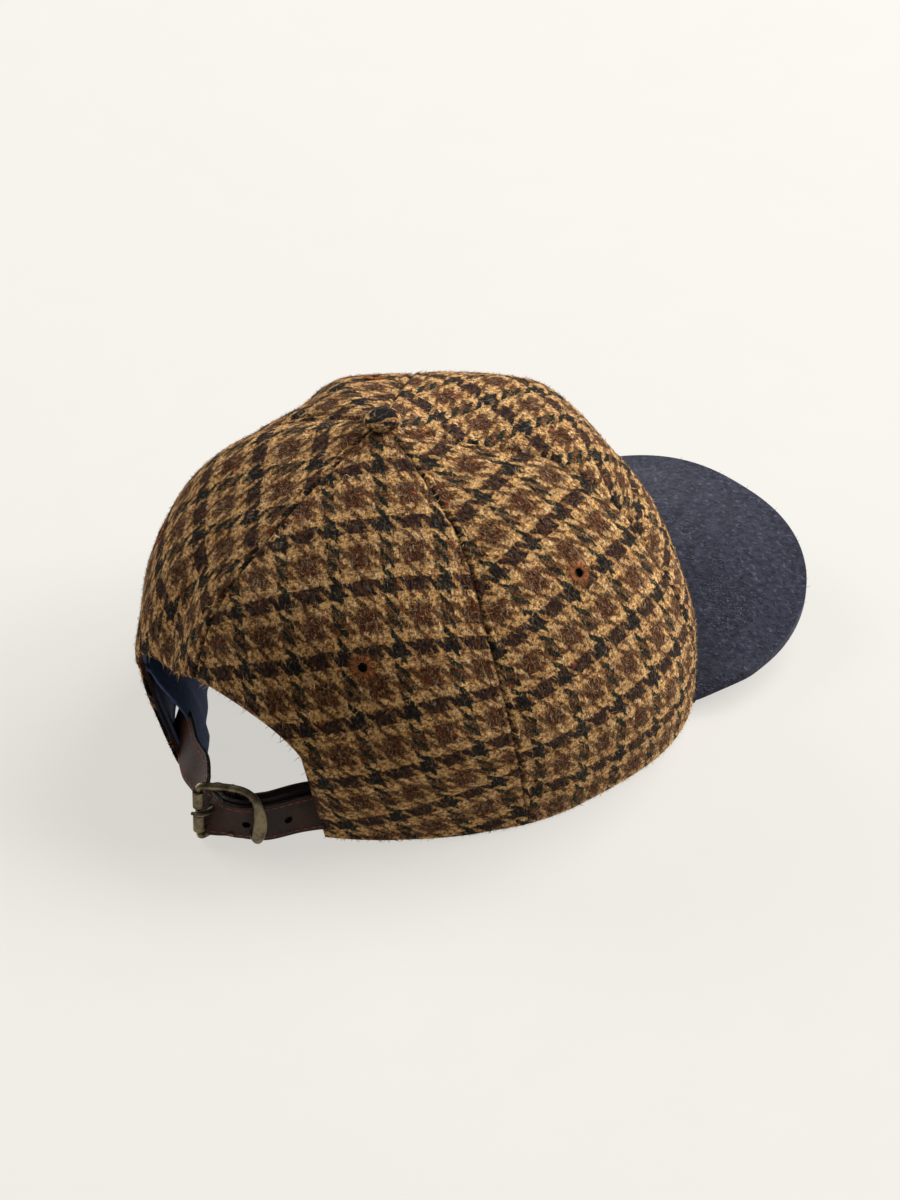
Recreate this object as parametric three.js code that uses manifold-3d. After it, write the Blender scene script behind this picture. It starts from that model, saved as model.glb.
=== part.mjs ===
// A five-panel woollen cap: crown panels, covered button, stitched eyelets, stiff peak,
// sweatband, arch binding, and a leather strap with a centre-bar buckle at the back.
// Millimetres, +Z up. The peak points to -Y, the wearer's right is -X, and the hem rests on z = 0.
import * as THREE from "three";
import { mergeVertices } from "three/addons/utils/BufferGeometryUtils.js";
import Module from "manifold-3d";

const wasm = await Module();
wasm.setup();
const { sin, cos, abs, min, max, PI } = Math;
const V3 = (x, y, z) => new THREE.Vector3(x, y, z);
const radians = THREE.MathUtils.degToRad;
const UP = V3(0, 0, 1);

// Driving dimensions
const GAP = 0.3; // clearance between neighbouring pieces
const CLOTH = 2.0; // tweed with its backing
const FRONT_RISE = 18; // lift of the hem over the middle of the peak
const FRONT_SPAN = 70; // azimuth where the hem comes back to the table
const FRONT_FULLNESS = 0.085; // squareness of the front quarters of every ring
const BACK_FULLNESS = -0.03;
const PUFF = 2.5; // swell of each panel between its seams

// Crown rings from the hem to the hole under the button. A ring is an ellipse about its own
// centre on the Y axis, and its height changes from the front to the sides and to the back.
const RINGS = [
  { ring: "hem", centre: -2, halfLength: 94, halfWidth: 88, front: 0, side: 0, back: 0 },
  { ring: "belly", centre: 7, halfLength: 97, halfWidth: 93, front: 42, side: 37, back: 38 },
  { ring: "shoulder", centre: 11, halfLength: 83, halfWidth: 78, front: 90, side: 77, back: 76 },
  { ring: "upper", centre: 9, halfLength: 56, halfWidth: 49, front: 113, side: 106, back: 101 },
  { ring: "top", centre: 16, halfLength: 4, halfWidth: 4, front: 125, side: 125, back: 125 },
];
// Soft folds of the cloth: swells are positive, dents negative, at an azimuth and a rise from 0 to 1
const FOLDS = [
  { fold: "dip behind the front panel", azimuth: 20, rise: 0.88, out: -4, width: 45, height: 0.1 },
  { fold: "dent left of the back seam", azimuth: 194, rise: 0.42, out: -5, width: 7, height: 0.18 },
  { fold: "flare left of the arch", azimuth: 209, rise: 0.26, out: 2.5, width: 9, height: 0.1 },
  { fold: "swell of the left back", azimuth: 232, rise: 0.7, out: 4, width: 18, height: 0.2 },
  { fold: "left back seam", azimuth: 256, rise: 0.72, out: -3, width: 8, height: 0.2 },
  { fold: "swell of the left side", azimuth: 284, rise: 0.72, out: 3, width: 18, height: 0.18 },
];
// Panels run between seams, by azimuth from the front towards the wearer's right
const PANELS = [
  { name: "front_panel", from: -48, to: 48, columns: 20 },
  { name: "side_panel_right", from: 48, to: 104, columns: 12 },
  { name: "back_panel_right", from: 104, to: 180, columns: 18 },
  { name: "back_panel_left", from: 180, to: 256, columns: 18 },
  { name: "side_panel_left", from: 256, to: 312, columns: 12 },
];
const PANEL_ROWS = 16;
const EYELETS = [
  { name: "eyelet_side_right", panel: "side_panel_right", azimuth: 74, rise: 0.56 },
  { name: "eyelet_back_right", panel: "back_panel_right", azimuth: 136, rise: 0.48 },
  { name: "eyelet_back_left", panel: "back_panel_left", azimuth: 224, rise: 0.48 },
  { name: "eyelet_side_left", panel: "side_panel_left", azimuth: 297, rise: 0.8 },
];
const EYELET = { radius: 3.4, thread: 1.25, height: 0.8, hole: 1.7 };

const ARCH = { foot: 42, shoulder: 46.5, shoulderHeight: 26, height: 56, squareness: 2.2 };
const BUTTON = { radius: 6.6, height: 6, shank: 2.4 };
const PEAK = { thickness: 3.2, seat: 0.5, swell: 3, corner: 48 };
const PEAK_OUTLINE = { halfWidth: 70.5, length: 62, squareness: 2.6, side: 5, tip: 26 };
const PEAK_GRID = { columns: 38, rows: 6 };
const BAND = { height: 30, thickness: 1.4, lift: 1.2, end: 141 };
const BAND_GRID = { columns: 48, rows: 4 };
const BINDING = { width: 10, thickness: 1.0, depth: 2.8, columns: 48 };

// Strap route in plan, from inside the right tail to inside the left tail
const STRAP_ROUTE = [
  { place: "right end", x: -39.4, y: 71.5 },
  { place: "right tail", x: -37.5, y: 78 },
  { place: "before the buckle", x: -35.2, y: 88 },
  { place: "buckle right", x: -32.3, y: 97.5 },
  { place: "buckle middle", x: -24, y: 106.5 },
  { place: "buckle left", x: -12.5, y: 111 },
  { place: "after the buckle", x: 2, y: 106 },
  { place: "left tail", x: 37.5, y: 78 },
  { place: "left end", x: 39.4, y: 71.5 },
];
const STRAP = { width: 16, thickness: 1.6, middle: 12.2, hole: 1.6, pitch: 15 };
const BUCKLE = { x: -24, y: 106.5, half: 11, arm: 10.2, wire: 1.35, bar: 1.0, left: 2.2, right: 2.6 };
const ROLLER = { inner: 1.3, outer: 2.1, length: 7.4, gap: 3.4 };
const PRONG = { reach: 7, wire: 0.75, ring: 2.6, wall: 0.8, slot: 7 };

// Evenly spaced numbers
function distances(from, to, count) {
  return Array.from({ length: count }, (_, i) => from + ((to - from) * i) / (count - 1));
}

// Crown surface
function wrap(azimuth) {
  return ((azimuth + 540) % 360) - 180;
}
function hemHeight(azimuth) {
  const share = min(abs(wrap(azimuth)) / FRONT_SPAN, 1);
  return FRONT_RISE * cos((PI / 2) * share) ** 2;
}
function panelShare(azimuth) {
  const turned = azimuth < -48 ? azimuth + 360 : azimuth > 312 ? azimuth - 360 : azimuth;
  const panel = PANELS.find((p) => turned >= p.from && turned <= p.to);
  return (turned - panel.from) / (panel.to - panel.from);
}
function crownPoint(azimuth, rise) {
  const t = radians(azimuth);
  const fullness = cos(t) > 0 ? FRONT_FULLNESS : BACK_FULLNESS;
  const reach = 1 + fullness * sin(2 * t) ** 2;
  const points = RINGS.map((r, i) => {
    const end = cos(t) > 0 ? r.front : r.back;
    const height = i === 0 ? hemHeight(azimuth) : end * cos(t) ** 2 + r.side * sin(t) ** 2;
    return V3(-r.halfWidth * sin(t) * reach, r.centre - r.halfLength * cos(t) * reach, height);
  });
  const point = new THREE.CatmullRomCurve3(points).getPoint(rise);
  let push = PUFF * sin(PI * panelShare(azimuth)) ** 0.7 * sin(PI * min(max(rise, 0), 1)) ** 0.8;
  for (const fold of FOLDS) {
    const across = wrap(azimuth - fold.azimuth) / fold.width;
    const along = (rise - fold.rise) / fold.height;
    push += fold.out * Math.exp(-across * across - along * along) * min(rise / 0.12, 1);
  }
  const outward = point.clone().sub(V3(0, 10, 45)).normalize();
  return point.addScaledVector(outward, push);
}
function crownNormal(azimuth, rise) {
  const low = max(rise - 0.01, 0);
  const high = min(rise + 0.01, 1);
  const along = crownPoint(azimuth, high).sub(crownPoint(azimuth, low));
  const across = crownPoint(azimuth + 0.4, rise).sub(crownPoint(azimuth - 0.4, rise));
  return along.cross(across).normalize();
}
// A point under the outer surface. Near the hem the wall is measured level, so the rim stays flat.
function insidePoint(azimuth, rise, depth) {
  const normal = crownNormal(azimuth, rise);
  normal.z *= min(rise / 0.1, 1);
  return crownPoint(azimuth, rise).addScaledVector(normal.normalize(), -depth);
}
// Outline of the arch seen from behind, from the right foot over the top to the left foot
function archPoint(share) {
  const turn = abs(share - 0.5) * 2;
  const side = share < 0.5 ? -1 : 1;
  const upright = 0.3;
  if (turn > 1 - upright) {
    const down = (turn - 1 + upright) / upright;
    const x = ARCH.shoulder + (ARCH.foot - ARCH.shoulder) * down;
    return new THREE.Vector2(side * x, ARCH.shoulderHeight * (1 - down));
  }
  const angle = ((turn / (1 - upright)) * PI) / 2;
  const power = 2 / ARCH.squareness;
  const over = ARCH.height - ARCH.shoulderHeight;
  return new THREE.Vector2(side * ARCH.shoulder * sin(angle) ** power, ARCH.shoulderHeight + over * cos(angle) ** power);
}
// Azimuth and rise of the crown point seen at a place from behind
function backSpot(x, z) {
  let azimuth = 180 + (Math.asin(x / 95) * 180) / PI;
  let rise = 0;
  for (let turn = 0; turn < 8; turn += 1) {
    let low = 0;
    let high = 0.7;
    for (let step = 0; step < 24; step += 1) {
      rise = (low + high) / 2;
      if (crownPoint(azimuth, rise).z < z) low = rise;
      else high = rise;
    }
    const slope = crownPoint(azimuth + 0.5, rise).x - crownPoint(azimuth - 0.5, rise).x;
    azimuth += (x - crownPoint(azimuth, rise).x) / slope;
  }
  return [azimuth, rise];
}

// Solids
function solid(geometry) {
  const bare = geometry.clone();
  bare.deleteAttribute("normal");
  bare.deleteAttribute("uv");
  const merged = mergeVertices(bare, 1e-4);
  const mesh = new wasm.Mesh({
    numProp: 3,
    vertProperties: new Float32Array(merged.attributes.position.array),
    triVerts: new Uint32Array(merged.index.array),
  });
  return new wasm.Manifold(mesh);
}
function geometryOf(manifold) {
  const mesh = manifold.getMesh();
  const geometry = new THREE.BufferGeometry();
  geometry.setAttribute("position", new THREE.BufferAttribute(new Float32Array(mesh.vertProperties), 3));
  geometry.setIndex(new THREE.BufferAttribute(new Uint32Array(mesh.triVerts), 1));
  geometry.computeVertexNormals();
  return geometry;
}
// Closed wall between two grids of points, each a list of rows
function wallGeometry(outer, inner) {
  const rows = outer.length;
  const columns = outer[0].length;
  const positions = [outer, inner].flat(2).flatMap((p) => p.toArray());
  const at = (side, row, column) => (side * rows + row) * columns + column;
  const index = [];
  const quad = (a, b, c, d) => index.push(a, b, c, a, c, d);
  for (let r = 0; r < rows - 1; r += 1) {
    for (let c = 0; c < columns - 1; c += 1) {
      quad(at(0, r, c), at(0, r + 1, c), at(0, r + 1, c + 1), at(0, r, c + 1));
      quad(at(1, r, c), at(1, r, c + 1), at(1, r + 1, c + 1), at(1, r + 1, c));
    }
    const last = columns - 1;
    quad(at(0, r, 0), at(1, r, 0), at(1, r + 1, 0), at(0, r + 1, 0));
    quad(at(0, r, last), at(0, r + 1, last), at(1, r + 1, last), at(1, r, last));
  }
  for (let c = 0; c < columns - 1; c += 1) {
    const top = rows - 1;
    quad(at(0, 0, c), at(0, 0, c + 1), at(1, 0, c + 1), at(1, 0, c));
    quad(at(0, top, c), at(1, top, c), at(1, top, c + 1), at(0, top, c + 1));
  }
  const geometry = new THREE.BufferGeometry();
  geometry.setAttribute("position", new THREE.Float32BufferAttribute(positions, 3));
  geometry.setIndex(index);
  geometry.computeVertexNormals();
  return geometry;
}
function grid(rows, columns, pointAt) {
  const list = [];
  for (let r = 0; r < rows; r += 1) {
    const row = [];
    for (let c = 0; c < columns; c += 1) row.push(pointAt(r / (rows - 1), c / (columns - 1)));
    list.push(row);
  }
  return list;
}

const cap = new THREE.Group();
function place(name, geometry, look) {
  const material = new THREE.MeshStandardMaterial(look);
  const mesh = new THREE.Mesh(geometry, material);
  mesh.name = name;
  cap.add(mesh);
}
const TWEED = { color: 0x6b4e31, roughness: 0.95, metalness: 0 };
const NAVY = { color: 0x3c3e50, roughness: 0.95, metalness: 0 };
const LINING = { color: 0x232d41, roughness: 0.9, metalness: 0 };
const LEATHER = { color: 0x2e211b, roughness: 0.6, metalness: 0 };
const BRASS = { color: 0x6a6250, roughness: 0.45, metalness: 1 };
const THREAD = { color: 0x5a3e28, roughness: 0.9, metalness: 0 };

// Turns a shape drawn round +Z so that it stands on the crown
function onCrown(geometry, azimuth, rise, lift) {
  const normal = crownNormal(azimuth, rise);
  geometry.applyQuaternion(new THREE.Quaternion().setFromUnitVectors(UP, normal));
  const seat = crownPoint(azimuth, rise).addScaledVector(normal, lift);
  return geometry.translate(seat.x, seat.y, seat.z);
}

// Crown panels, with the arch cut out of the back ones and an eyelet hole in all but the front
const archShape = new THREE.Shape([
  new THREE.Vector2(-ARCH.foot, -10),
  ...distances(0, 1, 41).map(archPoint),
  new THREE.Vector2(ARCH.foot, -10),
]);
const archCut = new THREE.ExtrudeGeometry(archShape, { depth: 90, bevelEnabled: false, steps: 1 });
archCut.rotateX(PI / 2).translate(0, 140, 0);
function panelGeometry(panel) {
  const spot = (rise, share) => {
    const width = crownPoint(panel.from, rise).distanceTo(crownPoint(panel.to, rise));
    const inset = (GAP / 2 / width) * (panel.to - panel.from);
    return [panel.from + inset + share * (panel.to - panel.from - 2 * inset), rise];
  };
  const outer = grid(PANEL_ROWS, panel.columns, (rise, share) => crownPoint(...spot(rise, share)));
  const inner = grid(PANEL_ROWS, panel.columns, (rise, share) => insidePoint(...spot(rise, share), CLOTH));
  let body = solid(wallGeometry(outer, inner));
  if (panel.name.startsWith("back")) body = body.subtract(solid(archCut));
  for (const eyelet of EYELETS.filter((e) => e.panel === panel.name)) {
    const punch = new THREE.CylinderGeometry(EYELET.hole, EYELET.hole, 12, 12).rotateX(PI / 2);
    body = body.subtract(solid(onCrown(punch, eyelet.azimuth, eyelet.rise, 0)));
  }
  return geometryOf(body);
}
for (const panel of PANELS) place(panel.name, panelGeometry(panel), TWEED);

// Stitched eyelets round the holes
for (const eyelet of EYELETS) {
  const ring = new THREE.TorusGeometry(EYELET.radius, EYELET.thread, 6, 16).scale(1, 1, EYELET.height);
  place(eyelet.name, onCrown(ring, eyelet.azimuth, eyelet.rise, EYELET.thread * EYELET.height + GAP), THREAD);
}

// Covered button with its shank through the hole at the top
const buttonProfile = [
  new THREE.Vector2(0, -3),
  new THREE.Vector2(BUTTON.shank, -3),
  new THREE.Vector2(BUTTON.shank, 1.4),
  new THREE.Vector2(BUTTON.radius - 0.8, 1.4),
  new THREE.Vector2(BUTTON.radius, 2.4),
  new THREE.Vector2(BUTTON.radius * 0.86, 4.4),
  new THREE.Vector2(BUTTON.radius * 0.5, BUTTON.height - 0.4),
  new THREE.Vector2(0, BUTTON.height),
];
const button = new THREE.LatheGeometry(buttonProfile, 24).rotateX(PI / 2);
const topRing = RINGS.at(-1);
button.rotateX(radians(-4));
place("top_button", button.translate(0, topRing.centre, topRing.front), TWEED);

// Peak: a stiff plate under the front hem, bent over its width
function peakGeometry() {
  const corner = radians(PEAK.corner);
  const reach = 1 + FRONT_FULLNESS * sin(2 * corner) ** 2;
  const hem = RINGS[0];
  const cornerY = hem.centre - hem.halfLength * cos(corner) * reach;
  const widest = cornerY - 16;
  const tipY = hem.centre - hem.halfLength - PEAK_OUTLINE.length;
  const power = 2 / PEAK_OUTLINE.squareness;
  const outlinePoint = (share) => {
    const angle = (share - 0.5) * PI * 0.985;
    const x = PEAK_OUTLINE.halfWidth * Math.sign(sin(angle)) * abs(sin(angle)) ** power;
    const forward = cos(angle) ** power;
    const height = PEAK_OUTLINE.side + (PEAK_OUTLINE.tip - PEAK_OUTLINE.side) * cos(angle) ** 2;
    return V3(-x, widest + (tipY - widest) * forward, height);
  };
  const hemPoint = (share) => {
    const azimuth = (share - 0.5) * 2 * PEAK.corner;
    const point = insidePoint(azimuth, 0, CLOTH - GAP);
    point.z = hemHeight(azimuth) - PEAK.seat;
    return point;
  };
  const top = grid(PEAK_GRID.rows, PEAK_GRID.columns, (out, share) => {
    const inner = hemPoint(share);
    const outer = outlinePoint(share);
    const point = inner.clone().lerp(outer, out);
    point.z += PEAK.swell * sin(PI * out) ** 2 * cos((share - 0.5) * PI);
    return point;
  });
  const under = top.map((row) => row.map((p) => p.clone().setZ(p.z - PEAK.thickness)));
  return wallGeometry(under, top);
}
place("peak", peakGeometry(), NAVY);

// Sweatband inside the hem, from tail to tail
function bandSpot(up, share, depth) {
  const azimuth = (share - 0.5) * 2 * BAND.end;
  const rise = (BAND.lift + up * BAND.height) / 150;
  const point = insidePoint(azimuth, rise, depth);
  point.z = max(point.z, hemHeight(azimuth) + BAND.lift);
  return point;
}
const bandDepth = CLOTH + GAP + 0.2;
const bandOuter = grid(BAND_GRID.rows, BAND_GRID.columns, (up, share) => bandSpot(up, share, bandDepth));
const bandInner = grid(BAND_GRID.rows, BAND_GRID.columns, (up, share) => {
  return bandSpot(up, share, bandDepth + BAND.thickness);
});
place("sweatband", wallGeometry(bandOuter, bandInner), LINING);

// Binding tape along the inside of the arch, foot to foot
function bindingSpot(up, share, depth) {
  const here = archPoint(share);
  const ahead = archPoint(min(share + 0.004, 1));
  const behind = archPoint(max(share - 0.004, 0));
  const normal = new THREE.Vector2(behind.y - ahead.y, ahead.x - behind.x).normalize();
  here.addScaledVector(normal, 0.4 + up * BINDING.width);
  return insidePoint(...backSpot(here.x, max(here.y, 1.5)), depth);
}
const bindingInnerDepth = BINDING.depth + BINDING.thickness;
const bindingOuter = grid(3, BINDING.columns, (up, share) => bindingSpot(up, share, BINDING.depth));
const bindingInner = grid(3, BINDING.columns, (up, share) => bindingSpot(up, share, bindingInnerDepth));
place("arch_binding", wallGeometry(bindingOuter, bindingInner), LINING);

// Leather straps stand on edge and follow a route in plan
const routePoints = STRAP_ROUTE.map((r) => new THREE.Vector2(r.x, r.y));
const route = new THREE.SplineCurve(routePoints);
const routeLength = route.getLength();
// A point beside the route, positive towards the outside of the cap
function beside(distance, offset) {
  const share = min(max(distance / routeLength, 0), 1);
  const tangent = route.getTangentAt(share);
  const point = route.getPointAt(share);
  return new THREE.Vector2(point.x - tangent.y * offset, point.y + tangent.x * offset);
}
// A band on edge between two lists of plan points
function bandSolid(outside, inside, width) {
  const shape = new THREE.Shape([...outside, ...inside.slice().reverse()]);
  const geometry = new THREE.ExtrudeGeometry(shape, { depth: width, bevelEnabled: false, steps: 1 });
  return solid(geometry.translate(0, 0, STRAP.middle - width / 2));
}
// Distance along the route nearest to a plan point
function distanceAt(x, y) {
  const target = new THREE.Vector2(x, y);
  const tries = distances(0, routeLength, 400);
  return tries.reduce((best, d) => {
    return beside(d, 0).distanceTo(target) < beside(best, 0).distanceTo(target) ? d : best;
  }, 0);
}
// Turns a shape drawn along +Z so that it points out of the strap at a distance along it
function acrossStrap(geometry, distance, height) {
  const tangent = route.getTangentAt(distance / routeLength);
  const out = V3(-tangent.y, tangent.x, 0);
  geometry.applyQuaternion(new THREE.Quaternion().setFromUnitVectors(UP, out));
  const point = beside(distance, 0);
  return geometry.translate(point.x, point.y, height);
}

const buckleAt = distanceAt(BUCKLE.x, BUCKLE.y);
const half = STRAP.thickness / 2;
const longRun = distances(0, routeLength, 48);
let longStrap = bandSolid(
  longRun.map((d) => beside(d, half)),
  longRun.map((d) => beside(d, -half)),
  STRAP.width,
);
const prongHole = buckleAt + PRONG.reach;
for (const step of [-2, -1, 0, 1]) {
  const punch = new THREE.CylinderGeometry(STRAP.hole, STRAP.hole, 8, 16).rotateX(PI / 2);
  longStrap = longStrap.subtract(solid(acrossStrap(punch, prongHole + step * STRAP.pitch, STRAP.middle)));
}
place("strap_long", geometryOf(longStrap), LEATHER);

// Buckle drawn about its centre bar: x along the strap, y down, z out of the cap
const barDepth = -(half + GAP + STRAP.thickness + GAP + BUCKLE.bar);
function onBuckle(geometry) {
  const tangent = route.getTangentAt(buckleAt / routeLength);
  const out = V3(-tangent.y, tangent.x, 0);
  const turn = new THREE.Matrix4().makeBasis(V3(tangent.x, tangent.y, 0), V3(0, 0, -1), out);
  const point = beside(buckleAt, 0);
  return geometry.applyMatrix4(turn.setPosition(point.x, point.y, STRAP.middle));
}
const B = BUCKLE;
const wireShape = new THREE.Shape().absarc(0, 0, B.wire, 0, 2 * PI);
const bow = [
  V3(B.half, B.arm - 0.6, B.left),
  V3(B.half - 0.7, B.arm + 0.3, B.left - 0.3),
  V3(B.half * 0.5, B.arm + 0.4, barDepth * 0.45),
  V3(0, B.arm + 0.4, barDepth),
  V3(-B.half * 0.55, B.arm, barDepth * 0.45),
  V3(-B.half * 0.92, B.arm * 0.8, B.right * 0.8),
  V3(-B.half * 1.08, 0, B.right),
];
const below = bow.slice(0, -1).reverse().map((p) => V3(p.x, -p.y, p.z));
const bowCurve = new THREE.CatmullRomCurve3([...bow, ...below]);
const bowTube = { steps: 44, extrudePath: bowCurve, bevelEnabled: false, curveSegments: 4 };
const leftBar = new THREE.CylinderGeometry(B.bar, B.bar, 2 * B.arm - 1, 16).translate(B.half, 0, B.left);
const centreBar = new THREE.CylinderGeometry(B.bar, B.bar, 2 * B.arm + 1, 16).translate(0, 0, barDepth);
const frame = solid(onBuckle(new THREE.ExtrudeGeometry(wireShape, bowTube)))
  .add(solid(onBuckle(leftBar)))
  .add(solid(onBuckle(centreBar)));
place("buckle_frame", geometryOf(frame), BRASS);

// Two rollers turn on the straight end, with the prong's tip between them
for (const roller of [{ name: "roller_upper", side: -1 }, { name: "roller_lower", side: 1 }]) {
  const profile = [
    new THREE.Vector2(ROLLER.inner, -ROLLER.length / 2),
    new THREE.Vector2(ROLLER.outer, -ROLLER.length / 2),
    new THREE.Vector2(ROLLER.outer, ROLLER.length / 2),
    new THREE.Vector2(ROLLER.inner, ROLLER.length / 2),
    new THREE.Vector2(ROLLER.inner, -ROLLER.length / 2),
  ];
  const tube = new THREE.LatheGeometry(profile, 20);
  const rise = (roller.side * (ROLLER.gap + ROLLER.length)) / 2;
  place(roller.name, onBuckle(tube.translate(B.half, rise, B.left)), BRASS);
}

// Prong: a ring round the centre bar and a wire out through the strap to the straight end
const ringProfile = [
  new THREE.Vector2(B.bar + GAP, -PRONG.ring / 2),
  new THREE.Vector2(B.bar + GAP + PRONG.wall, -PRONG.ring / 2),
  new THREE.Vector2(B.bar + GAP + PRONG.wall, PRONG.ring / 2),
  new THREE.Vector2(B.bar + GAP, PRONG.ring / 2),
  new THREE.Vector2(B.bar + GAP, -PRONG.ring / 2),
];
const prongRing = new THREE.LatheGeometry(ringProfile, 14).translate(0, 0, barDepth);
const prongCurve = new THREE.CatmullRomCurve3([
  V3(B.bar + GAP + PRONG.wall / 2, 0, barDepth + 0.3),
  V3(PRONG.reach - 1.2, 0, -2.2),
  V3(PRONG.reach, 0, -0.4),
  V3(PRONG.reach + 0.9, 0, 1.6),
  V3(B.half - 0.6, 0, B.left + B.bar + PRONG.wire + 0.1),
  V3(B.half + 2.2, 0, B.left + B.bar + PRONG.wire + 0.2),
]);
const prongShape = new THREE.Shape().absarc(0, 0, PRONG.wire, 0, 2 * PI);
const prongTube = { steps: 14, extrudePath: prongCurve, bevelEnabled: false, curveSegments: 4 };
const prong = solid(onBuckle(prongRing)).add(solid(onBuckle(new THREE.ExtrudeGeometry(prongShape, prongTube))));
place("prong", geometryOf(prong), BRASS);

// Short strap: from the right tail behind the long one, looped round the centre bar and back
const layer = -(STRAP.thickness + GAP);
const loopTurns = distances(0, PI, 12);
const barPoint = beside(buckleAt, barDepth);
const along = route.getTangentAt(buckleAt / routeLength);
const outward = new THREE.Vector2(-along.y, along.x);
const roundBar = (radius) => loopTurns.map((a) => {
  return barPoint.clone().addScaledVector(outward, radius * cos(a)).addScaledVector(along, radius * sin(a));
});
const shortRun = distances(0, buckleAt - 2, 26);
const backRun = distances(buckleAt - 2, buckleAt - 26, 14);
const deep = 2 * (barDepth - layer);
const shortOutside = [
  ...shortRun.map((d) => beside(d, layer + half)),
  ...roundBar(B.bar + GAP + STRAP.thickness),
  ...backRun.map((d) => beside(d, layer + deep - half)),
];
const shortInside = [
  ...shortRun.map((d) => beside(d, layer - half)),
  ...roundBar(B.bar + GAP),
  ...backRun.map((d) => beside(d, layer + deep + half)),
];
const slot = new THREE.BoxGeometry(PRONG.slot, PRONG.ring + 1, 9).translate(1, 0, barDepth);
const shortStrap = bandSolid(shortOutside, shortInside, STRAP.width).subtract(solid(onBuckle(slot)));
place("strap_short", geometryOf(shortStrap), LEATHER);

// The origin goes under the middle of the whole cap, at the level of the hem
const bounds = new THREE.Box3().setFromObject(cap);
const middle = bounds.getCenter(V3(0, 0, 0));
for (const mesh of cap.children) mesh.geometry.translate(-middle.x, -middle.y, -bounds.min.z);

export default cap;
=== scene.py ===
"""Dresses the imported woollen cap: tweed panels, navy peak, leather strap and brass buckle."""
import math

import bpy
import numpy as np
from mathutils import Matrix, Vector, noise


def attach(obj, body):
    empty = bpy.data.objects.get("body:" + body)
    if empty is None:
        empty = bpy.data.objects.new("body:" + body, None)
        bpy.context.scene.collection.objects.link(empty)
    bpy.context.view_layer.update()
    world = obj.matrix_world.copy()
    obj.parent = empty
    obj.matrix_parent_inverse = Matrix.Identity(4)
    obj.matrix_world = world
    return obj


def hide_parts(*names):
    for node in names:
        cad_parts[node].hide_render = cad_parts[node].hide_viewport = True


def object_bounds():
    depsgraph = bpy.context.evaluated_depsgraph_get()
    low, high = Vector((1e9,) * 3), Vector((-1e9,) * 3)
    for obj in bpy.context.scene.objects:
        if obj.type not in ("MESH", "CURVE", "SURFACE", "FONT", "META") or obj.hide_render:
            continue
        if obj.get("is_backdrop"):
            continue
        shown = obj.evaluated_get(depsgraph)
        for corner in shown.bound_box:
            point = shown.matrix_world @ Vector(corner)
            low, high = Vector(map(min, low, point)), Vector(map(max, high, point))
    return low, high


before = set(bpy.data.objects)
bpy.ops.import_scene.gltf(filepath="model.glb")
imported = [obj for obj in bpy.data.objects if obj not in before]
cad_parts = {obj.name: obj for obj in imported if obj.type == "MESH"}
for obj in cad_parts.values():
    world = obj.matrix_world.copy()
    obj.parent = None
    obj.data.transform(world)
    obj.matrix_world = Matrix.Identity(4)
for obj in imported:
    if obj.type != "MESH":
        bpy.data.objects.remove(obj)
cad_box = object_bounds()

# Sizes in millimetres, as the cap is drafted. The peak points to -Y and the hem rests on z = 0.
MM = 0.001
SET_BACK = 19.97  # the crown's own centre lies this far behind the middle of the whole cap
CLOTH = 2.0
FRONT_RISE, FRONT_SPAN = 18, 70
FRONT_FULLNESS, BACK_FULLNESS = 0.085, -0.03
PUFF = 2.5
CROWN_HEART = (0, 10, 45)  # puffs and folds swell away from here
# Crown rings: centre, half length, half width, height at the front, side and back
RINGS = np.array([
    (-2, 94, 88, 0, 0, 0),
    (7, 97, 93, 42, 37, 38),
    (11, 83, 78, 90, 77, 76),
    (9, 56, 49, 113, 106, 101),
    (16, 4, 4, 125, 125, 125),
], float)
# Soft folds: azimuth, rise, outward swell, width, height
FOLDS = [
    (20, 0.88, -4, 45, 0.10),
    (194, 0.42, -5, 7, 0.18),
    (209, 0.26, 2.5, 9, 0.10),
    (232, 0.70, 4, 18, 0.20),
    (256, 0.72, -3, 8, 0.20),
    (284, 0.72, 3, 18, 0.18),
    (274, 0.64, -5, 8, 0.13),
    (300, 0.72, -1.3, 14, 0.10),
    (326, 0.71, -3.2, 18, 0.10),
    (355, 0.62, 2.2, 10, 0.10),
    (18, 0.52, -1.5, 8, 0.10),
    (216, 0.31, -1.8, 8, 0.08),
]
# Panels: seam azimuths, and the columns of the fine grid
PANELS = {
    "front_panel": (-48, 48, 130),
    "side_panel_right": (48, 104, 76),
    "back_panel_right": (104, 180, 100),
    "back_panel_left": (180, 256, 100),
    "side_panel_left": (256, 312, 76),
}
PANEL_ROWS = 120
# Eyelets: azimuth, rise, panel
EYELETS = {
    "eyelet_side_right": (74, 0.56, "side_panel_right"),
    "eyelet_back_right": (136, 0.48, "back_panel_right"),
    "eyelet_back_left": (224, 0.48, "back_panel_left"),
    "eyelet_side_left": (297, 0.80, "side_panel_left"),
}
EYELET_HOLE, EYELET_RING, EYELET_THREAD, EYELET_CLEAR = 1.8, 2.85, 1.05, 4.2
LEFT_SHOULDER, RIGHT_SHOULDER, ARCH_SHOULDER_HEIGHT, ARCH_HEIGHT, ARCH_SQUARE = 46.5, 48.6, 26, 56, 2.2
ARCH_SAG, SAG_AT, SAG_SPREAD = 7, 20, 17  # the soft left half of the arch hangs
TAIL_AZIMUTH, TAIL_TOP = 150.4, 0.19
TAIL_NEAR, TAIL_FAR, TAIL_NEAR_FADE, TAIL_FAR_FADE = 180, 246, 15, 36.4
LEFT_LEAN, LEFT_FLARE = 15, 3.9  # the left tail is drawn in and backwards by the strap
RIGHT_LEAN, RIGHT_FLARE, RIGHT_BOW_AT, RIGHT_BOW_SPREAD = 5.8, 3.5, 0.115, 0.066
SEAM_STITCH = 3.3  # from the seam to each row of topstitching
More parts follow.
